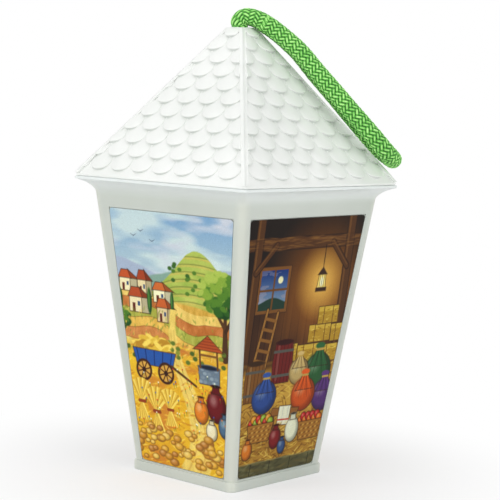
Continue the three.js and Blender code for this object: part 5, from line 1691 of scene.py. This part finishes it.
# %% Screws
def screw_shell(shank, head, head_high, length, pitch, sides=48):
    """Head up, its bearing face at height 0: the head's height is a dome less the cross, and the
    shank's radius swells by one minus the distance from the nearest thread crest."""
    angle = round_angles(sides)[None, :]
    z = np.linspace(-length + shank * 0.9, -0.25, 8 * round(length / pitch))[:, None]
    phase = (z / pitch - angle / (2 * math.pi)) % 1
    fade = np.clip((z + length - shank * 0.6) / (2 * pitch), 0.15, 1)
    thread = shank * (0.8 + 0.2 * fade * np.clip(1.25 - 2.5 * np.abs(phase - 0.5), 0, 1))
    tip = np.array([[shank * 0.25, -length], [shank * 0.5, -length + 0.35 * shank]])
    side = np.array([
        [shank * 0.85, -0.05], [head * 0.96, 0.0], [head, 0.1 * head_high], [head, 0.4 * head_high],
        [head * 0.93, 0.66 * head_high], [head * 0.8, 0.84 * head_high],
    ])
    top_radius = head * np.linspace(0.7, 0.05, 12)[:, None]
    x, y = top_radius * np.cos(angle), top_radius * np.sin(angle)
    low, high = np.minimum(np.abs(x), np.abs(y)), np.maximum(np.abs(x), np.abs(y))
    cross = np.clip((0.17 * head - low) / (0.06 * head), 0, 1)
    cross = cross * np.clip((0.55 * head - high) / (0.08 * head), 0, 1)
    top = head_high * (1 - 0.18 * (top_radius / head) ** 2) - 0.62 * head_high * cross
    parts = [(tip[:, :1], tip[:, 1:]), (thread, z), (side[:, :1], side[:, 1:]), (top_radius, top)]
    radii, heights = (np.concatenate([part[n] + 0 * angle for part in parts]) for n in (0, 1))
    rings = np.stack([radii * np.cos(angle), radii * np.sin(angle), heights], -1)
    return pole_shell(rings, [0, 0, -length], [0, 0, 0.38 * head_high])


board_top = 21.5
base_screw = screw_shell(1.25, 2.4, 1.3, 8.3, 0.95)
for number, (x, y) in enumerate([(1, -1), (1, 1), (-1, 1), (-1, -1)], 1):
    shell = moved(base_screw, (screw_place * x, screw_place * y, 1.9), upside_down)
    inner_piece(f"foot_screw_{number}", [shell], tinned, f"base_screw_{number}")
board_screw = screw_shell(0.8, 1.7, 1.1, 4.2, 0.7, sides=40)
for number, x in enumerate((-screw_x, screw_x), 1):
    shell = moved(board_screw, (x, 0, board_top))
    inner_piece(f"lamp_board_screw_{number}", [shell], tinned, f"board_screw_{number}")

# %% [markdown]
# The cells are plain AAA cells: a steel can in a printed sleeve that is shrunk over both shoulders,
# a steel nub at one end and a flat steel cup at the other. They lie along X, turned end for end.

# %% Cells
cell_length, cell_axis, cell_pitch, cell_sides = 44.5, 9.55, 11.3, 56
bay_half, sheet_thick, loose = 24.75, 0.4, 0.3
cell_profile = np.array([
    [0, 0.22], [3.4, 0.22], [3.7, 0.05], [4.25, 0.0], [4.4, 0.12], [4.42, 0.3], [4.5, 0.1], [4.95, 0.12],
    [5.17, 0.3], [5.25, 0.6], [5.25, 12.0], [5.25, 24.0], [5.25, 36.0], [5.25, 42.9], [5.14, 43.3],
    [4.85, 43.55], [4.5, 43.6], [4.42, 43.45], [4.3, 43.35], [3.2, 43.4], [2.5, 43.55], [1.98, 43.62],
    [1.86, 43.75], [1.84, 44.2], [1.68, 44.44], [1.2, 44.5], [0, 44.5],
])
sleeve = (np.arange(len(cell_profile)) > 5) & (np.arange(len(cell_profile)) < 17)


def sleeve_tone(tree):
    """A dark grey blue sleeve with a pale band near the nub, both a little rubbed."""
    dark = drift_tone(tree, 220.0, (48, 62, 74), (58, 72, 84))
    pale = drift_tone(tree, 260.0, (196, 200, 198), (210, 212, 208))
    return mixed(tree, ramp(tree, stored(tree, "way"), 0.795, 0.8), dark, pale)


cell_sleeve = partly_bare("cell sleeve", sleeve_tone, 0.34)
cell_shell = turned_shell(cell_profile, cell_sides)
for cell in range(3):
    sign, turn = (-1, z_to_minus_x) if cell % 2 else (1, z_to_x)
    start = sign * (bay_half - loose - sheet_thick - loose - cell_length)
    shell = moved(cell_shell, (start, (cell - 1) * cell_pitch, cell_axis), turn)
    thing, points = inner_piece(
        f"cell_{cell + 1}", [shell], cell_sleeve, f"battery_cell_{cell + 1}"
    )
    keep_values(thing, "bare", np.append(np.repeat(~sleeve[1:-1], cell_sides), [1, 1]))
    keep_values(thing, "way", np.abs(points[:, 0] - start) / cell_length)


# %% [markdown]
# The contacts are stamped from thin plated steel, with round corners. Three of them carry a coil
# that narrows towards the cell. The outline goes round each corner in a small arc, and the sheet
# is that outline at two places along X with a slightly smaller one outside each for the worn edge.

# %% Sheets and coils
def round_outline(corners, radius, arc=5):
    """An outline that goes round each corner on a quadratic curve: with s from 0 to 1, the corner plus
    the way back times (1 - s) squared and the way on times s squared."""
    corners = np.asarray(corners, dtype=float)
    before, after = (unit(np.roll(corners, step, 0) - corners) for step in (1, -1))
    share = np.linspace(0, 1, arc)[None, :, None]
    ends = corners[:, None] + radius * (before[:, None] * (1 - share) ** 2 + after[:, None] * share**2)
    return ends.reshape(-1, 2)


def sheet_shell(outline, hub, x):
    """A sheet in the Y-Z plane: the outline at both faces, drawn in a little towards the hub at each,
    closed by fans from the hub."""
    half, worn = sheet_thick / 2, 0.06
    away = outline - np.asarray(hub, dtype=float)
    small = hub + away * (1 - worn / np.linalg.norm(away, axis=1))[:, None]
    flats = [(small, -half), (outline, worn - half), (outline, half - worn), (small, half)]
    rings = np.stack([np.column_stack([np.full(len(ring), x + level), ring]) for ring, level in flats])
    return pole_shell(rings, [x - half, *hub], [x + half, *hub])


def coil_shell(x, y, way):
    """A coil along X: its radius falls from 3.4 to 2.1 mm in 2.25 turns."""
    t = np.linspace(0, 1, 150)
    turn = t * 2.25 * 2 * math.pi
    radius = 3.4 - 1.3 * t
    round_y, round_z = y + radius * np.cos(turn), cell_axis + radius * np.sin(turn)
    return tube_shell(np.stack([x + way * (0.12 + 2.5 * t), round_y, round_z], -1), 0.25)


# %% Contacts
contact_x, contact_half, tab_half, tab_top = 24.25, 4.2, 1.2, 18.8


def contact_piece(name, node, side, first, last, springs, tabbed):
    """A contact at one end of the bay, from one cell to another, with its coils and perhaps a tab up
    through the deck."""
    x, middle = side * contact_x, (first - 1) * cell_pitch
    y0, y1 = middle - contact_half, (last - 1) * cell_pitch + contact_half
    low, high = cell_axis - contact_half, cell_axis + contact_half
    tab, hub = [], ((y0 + y1) / 2, cell_axis)
    if tabbed:
        y2, y3 = middle + tab_half, middle - tab_half
        tab = [(y2, high), (y2, tab_top), (y3, tab_top), (y3, high)]
        hub = (middle, high - 0.3)
    corners = [(y0, low), (y1, low), (y1, high), *tab, (y0, high)]
    shells = [sheet_shell(round_outline(corners, 0.6), hub, x)]
    shells += [coil_shell(x - side * sheet_thick / 2, (cell - 1) * cell_pitch, -side) for cell in springs]
    inner_piece(name, shells, tinned, node, sharp=50)


contact_piece("plus_contact", "contact_positive", 1, 0, 0, [], True)
contact_piece("right_bridge", "contact_bridge_right", 1, 1, 2, [1], False)
contact_piece("left_bridge", "contact_bridge_left", -1, 0, 1, [0], False)
contact_piece("minus_contact", "contact_negative", -1, 2, 2, [2], True)

# %% [markdown]
# The lamp is a clear 5 mm bead with a rim at its foot and two thin legs through the board. Beside
# it lies its resistor: a waisted body with four painted rings, and one wire that is bent down at
# both ends.

# %% Lamp
resin = partly_bare(
    "clear lamp resin", drifting((250, 248, 236), (254, 252, 244)), 0.08, Transmission_Weight=0.6, IOR=1.5
)
lead_foot, lead_radius, bead_radius = 18.6, 0.3, 2.5
bead_arc = np.linspace(0, math.pi / 2, 9)[:-1]
lamp_profile = [[0, board_top], [2.7, board_top], [2.9, 21.65], [2.9, 22.35], [2.8, 22.5], [2.55, 22.52]]
lamp_profile += [[bead_radius, 22.6]]
lamp_profile += [[bead_radius * math.cos(a), 27.2 + bead_radius * math.sin(a)] for a in bead_arc]
lamp_bead = turned_shell(lamp_profile + [[0, 29.7]])
legs = [
    tube_shell(np.array([[x, 0, lead_foot], [x, 0, 20.0], [x, 0, 21.8]]), lead_radius, 8)
    for x in (-lamp_lead, lamp_lead)
]
lamp, lamp_points = inner_piece("round_lamp", [lamp_bead, *legs], resin, "lamp")
keep_bare(lamp, len(lamp_points), len(lamp_bead[0]))


# %% Resistor
def ring_tone(tree):
    """A sand-coloured body with four rings: each ring is a smooth window on the Object coordinate X."""
    x = add_node(tree, "SeparateXYZ", {0: place_on(tree)}).outputs["X"]
    tone = drift_tone(tree, 700.0, (208, 180, 130), (220, 196, 150))
    for at, ring in (
        (-2.35, (116, 66, 36)), (-1.0, (30, 28, 28)), (0.2, (176, 40, 32)), (2.35, (190, 150, 60)),
    ):
        tone = mixed(tree, band(tree, x, at, 0.3, 0.06), tone, colour(*ring))
    return tone


painted = partly_bare("resistor lacquer", ring_tone, 0.35)
resistor_half, resistor_axis = 3.15, 22.65
along = np.linspace(-resistor_half, resistor_half, 41)[1:-1]
bulge = np.clip((np.abs(along) - 1.3) / 0.7, 0, 1)
swell = 0.975 + 0.175 * bulge**2 * (3 - 2 * bulge)
cap = np.sqrt(np.clip(1 - np.clip((np.abs(along) - 2.55) / 0.6, 0, 1) ** 2, 0.02, 1))
resistor_profile = [[0, -resistor_half], *np.stack([swell * cap, along], -1), [0, resistor_half]]
resistor_body = moved(turned_shell(resistor_profile, 32), (0, resistor_y, resistor_axis), z_to_x)
bend_down = np.array([
    [4.2, resistor_axis], [4.8, 22.5], [resistor_lead, 21.9], [resistor_lead, 20.4], [resistor_lead, lead_foot],
])
bent = np.concatenate([bend_down[::-1] * [-1, 1], [[0, resistor_axis]], bend_down])
bent, _ = smooth_path(np.insert(bent, 1, resistor_y, axis=1), 90)
resistor, resistor_points = inner_piece(
    "banded_resistor", [resistor_body, tube_shell(bent, lead_radius)], painted, "resistor"
)
keep_bare(resistor, len(resistor_points), len(resistor_body[0]))

# %% [markdown]
# The cup over the lamp is frosted, so that the light spreads. It is one shell: up the inside, over
# the dome and down the outside. At its foot two arches let the wires through, so the rim's height
# follows the angle, and the lowest rings are squeezed up between the rim and the wall above.

# %% Frosted cup
cup_foot, cup_bend, cup_shoulder, cup_sides = 16.9, 22.4, 28.9, 200
cup_inner, cup_outer, inner_rise, outer_rise = 13.6, 14.8, 11.8, 13.0


def cup_side(radius, rise):
    """The profile of one face from the foot up: a straight wall, then a quarter of an ellipse."""
    wall = [[radius, z] for z in (17.05, 17.6, 18.4, 19.4, 20.6, cup_bend, 25.0)]
    dome = np.linspace(0, math.pi / 2, 13)[:-1]
    return wall + [[radius * math.cos(a), cup_shoulder + rise * math.sin(a)] for a in dome]


cup_rim = [[cup_inner + 0.15, cup_foot], [cup_outer - 0.15, cup_foot]]
cup_profile = np.array(cup_side(cup_inner, inner_rise)[::-1] + cup_rim + cup_side(cup_outer, outer_rise))
cup_angle = round_angles(cup_sides)[None, :]
cup_radius, cup_level = cup_profile[:, :1], cup_profile[:, 1:] + 0 * cup_angle
arch = 0 * cup_angle
for centre in (-math.pi / 2 - 4.0 / cup_outer, math.pi - 4.2 / cup_outer):
    away = np.abs((cup_angle - centre + math.pi) % (2 * math.pi) - math.pi) * (cup_inner + cup_outer) / 2
    arch = np.maximum(arch, 3.0 * np.clip((1.85 - away) / 0.3, 0, 1))
cup_level = cup_level + arch * np.clip((cup_bend - cup_level) / (cup_bend - cup_foot), 0, 1)
cup_rings = np.stack([cup_radius * np.cos(cup_angle), cup_radius * np.sin(cup_angle), cup_level], -1)
cup_poles = [[0, 0, cup_shoulder + rise] for rise in (inner_rise, outer_rise)]
frosted = moulded(
    "frosted cup",
    (236, 236, 230),
    (245, 245, 240),
    0.6,
    90.0,
    grain_deep=0.00004,
    Transmission_Weight=0.3,
    Subsurface_Weight=0.15,
    Subsurface_Radius=(0.003, 0.003, 0.003),
    Subsurface_Scale=1.0,
)
inner_piece("frosted_lamp_cup", [pole_shell(cup_rings, *cup_poles)], frosted, "light_diffuser")

# %% [markdown]
# Three thin wires join the contacts, the switch and the board. They follow the same points as the
# packed model. The insulation ends a little before each joint, and a bead of solder holds the bare
# strands, so the tube's radius is a function of the way along it.

# %% Wires, in millimetres
wire_routes = {
    "wire_positive": [
        [24.25, -12.8, 18.2], [23.85, -18.05, 18.2], [20.85, -20.25, 17.3], [14.25, -20.45, 14.8],
        [7.0, -21.05, 13.6], [3.1, -22.532, 12.5], [2.5, -22.532, 10.6],
    ],
    "wire_switch": [
        [-2.5, -22.532, 10.6], [-2.5, -22.532, 13.0], [-2.8, -20.45, 16.9], [-4.0, -17.05, 17.7],
        [-4.0, -13.8, 17.6], [-4.6, -9.6, 18.7], [-6.4, -7.6, 22.6], [-7.4, -4.6, 22.1],
    ],
    "wire_negative": [
        [-22.75, 11.3, 18.2], [-19.85, 8.7, 18.0], [-17.8, 4.8, 17.6], [-13.8, 4.2, 17.6],
        [-11.5, 4.2, 19.1], [-10.9, 4.2, 21.9], [-9.4, 4.2, 22.3], [-7.4, 4.2, 22.1],
    ],
}
jacket_radius, strand_radius, strand_long, solder_radius, solder_at, wire_sides = 0.6, 0.32, 1.6, 0.62, 0.55, 14
red_wire = partly_bare("red insulation", drifting((170, 28, 24), (190, 36, 30)), 0.42)
black_wire = partly_bare("black insulation", drifting((20, 20, 20), (30, 30, 30)), 0.42)
for name, route in wire_routes.items():
    finish, slot = (black_wire, "wire_black") if name == "wire_negative" else (red_wire, "wire_red")
    line, long = smooth_path(np.array(route), 120)
    run = np.linspace(0, long, len(line))
    end = np.minimum(run, long - run)
    solder = solder_radius * np.sqrt(np.clip(1 - ((end - solder_at) / solder_radius) ** 2, 0, 1))
    radius = np.maximum(np.where(end < strand_long, strand_radius, jacket_radius), solder)
    radius[[0, -1]] = 0.2
    thing, _ = inner_piece(f"{name}_soldered", [tube_shell(line, radius, wire_sides)], finish, name)
    keep_values(thing, "bare", np.append(np.repeat(end < strand_long, wire_sides), [1, 1]))

# %% [markdown]
# ## Floor and light
#
# The lantern was photographed on white. A pale floor that bends up into a backdrop keeps the shadow
# at the foot, and the world shows as plain white where nothing else is. From below the floor is clear,
# so that the underside can be looked at. Three soft lamps and the world light the plastic at about
# its own tone.

# %% Floor and backdrop
def seen_directly(tree):
    """1 for what the camera sees itself, in a mirror or through clear plastic, and 0 for other light."""
    path = add_node(tree, "LightPath").outputs
    seen = maths(tree, "MAXIMUM", path["Is Camera Ray"], path["Is Glossy Ray"])
    return maths(tree, "MAXIMUM", seen, path["Is Transmission Ray"])


white = (1, 1, 1, 1)
floor_white, floor_tree, floor_shader = new_material(
    "pale floor", Roughness=0.9, Specular_IOR_Level=0.1, Base_Color=(0.9, 0.9, 0.9, 1)
)
from_middle = add_node(floor_tree, "VectorMath", {0: place_on(floor_tree)}, operation="LENGTH").outputs["Value"]
glow = add_node(floor_tree, "Emission", {"Color": white, "Strength": 1.0}).outputs[0]
glow_share = ramp(floor_tree, from_middle, 0.045, 0.16, 0.55, 1.0)
glow_share = maths(floor_tree, "MULTIPLY", seen_directly(floor_tree), glow_share)
upper = add_node(floor_tree, "MixShader", {0: glow_share, 1: floor_shader.outputs[0], 2: glow}).outputs[0]
clear = add_node(floor_tree, "BsdfTransparent").outputs[0]
from_below = add_node(floor_tree, "NewGeometry").outputs["Backfacing"]
both = add_node(floor_tree, "MixShader", {0: from_below, 1: upper, 2: clear}).outputs[0]
fill(floor_tree.nodes["Material Output"], {"Surface": both})

bend = np.linspace(0, math.pi / 2, 16)
run_y = np.concatenate([[-1.6], 1.2 + 0.6 * np.sin(bend), [1.8]])
run_z = np.concatenate([[0.0], 0.6 - 0.6 * np.cos(bend), [2.4]])
sheet_y, sheet_x = np.meshgrid(run_y, [-2.4, 0.0, 2.4], indexing="ij")
turn_back = math.radians(45 - 2.7)
back_x = sheet_x * math.cos(turn_back) - sheet_y * math.sin(turn_back)
back_y = sheet_x * math.sin(turn_back) + sheet_y * math.cos(turn_back)
floor_points = np.stack([back_x, back_y, run_z[:, None] + 0 * back_x], -1).reshape(-1, 3)
floor = in_scene("floor", mesh_of("floor", floor_points, grid_faces(*sheet_x.shape), floor_white))
floor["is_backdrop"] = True
print("floor faces:", len(floor.data.polygons))


# %% Lamps and world
def soft_lamp(name, place, target, size, power):
    """A square area lamp at a place, turned towards a target."""
    lamp = bpy.data.lights.new(name, "AREA")
    lamp.size = size
    lamp.energy = power
    away = unit(np.array(place) - target)
    flat = unit(np.cross([0, 0, 1], away))
    stand_at(in_scene(name, lamp), np.column_stack([flat, np.cross(away, flat), away]), place)


middle = (0.0, 0.0, 0.11)
soft_lamp("key lamp", (-0.2, -1.15, 0.75), middle, 0.7, 6.6)
soft_lamp("side lamp", (1.15, 0.0, 0.45), middle, 0.7, 4.4)
soft_lamp("top lamp", (-0.1, -0.1, 1.3), middle, 0.9, 2.5)

world = bpy.data.worlds.new("studio")
bpy.context.scene.world = world
world.use_nodes = True
sky = world.node_tree
sky.nodes.clear()
strength = ramp(sky, seen_directly(sky), 0.0, 1.0, 0.46, 1.0)
shade = add_node(sky, "Background", {"Color": white, "Strength": strength})
add_node(sky, "OutputWorld", {"Surface": shade.outputs[0]})
bpy.context.scene.view_settings.view_transform = "Standard"

# %% Sizes, and the end
low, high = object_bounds()
print("visual box", [round(v, 4) for v in (*low, *high)])
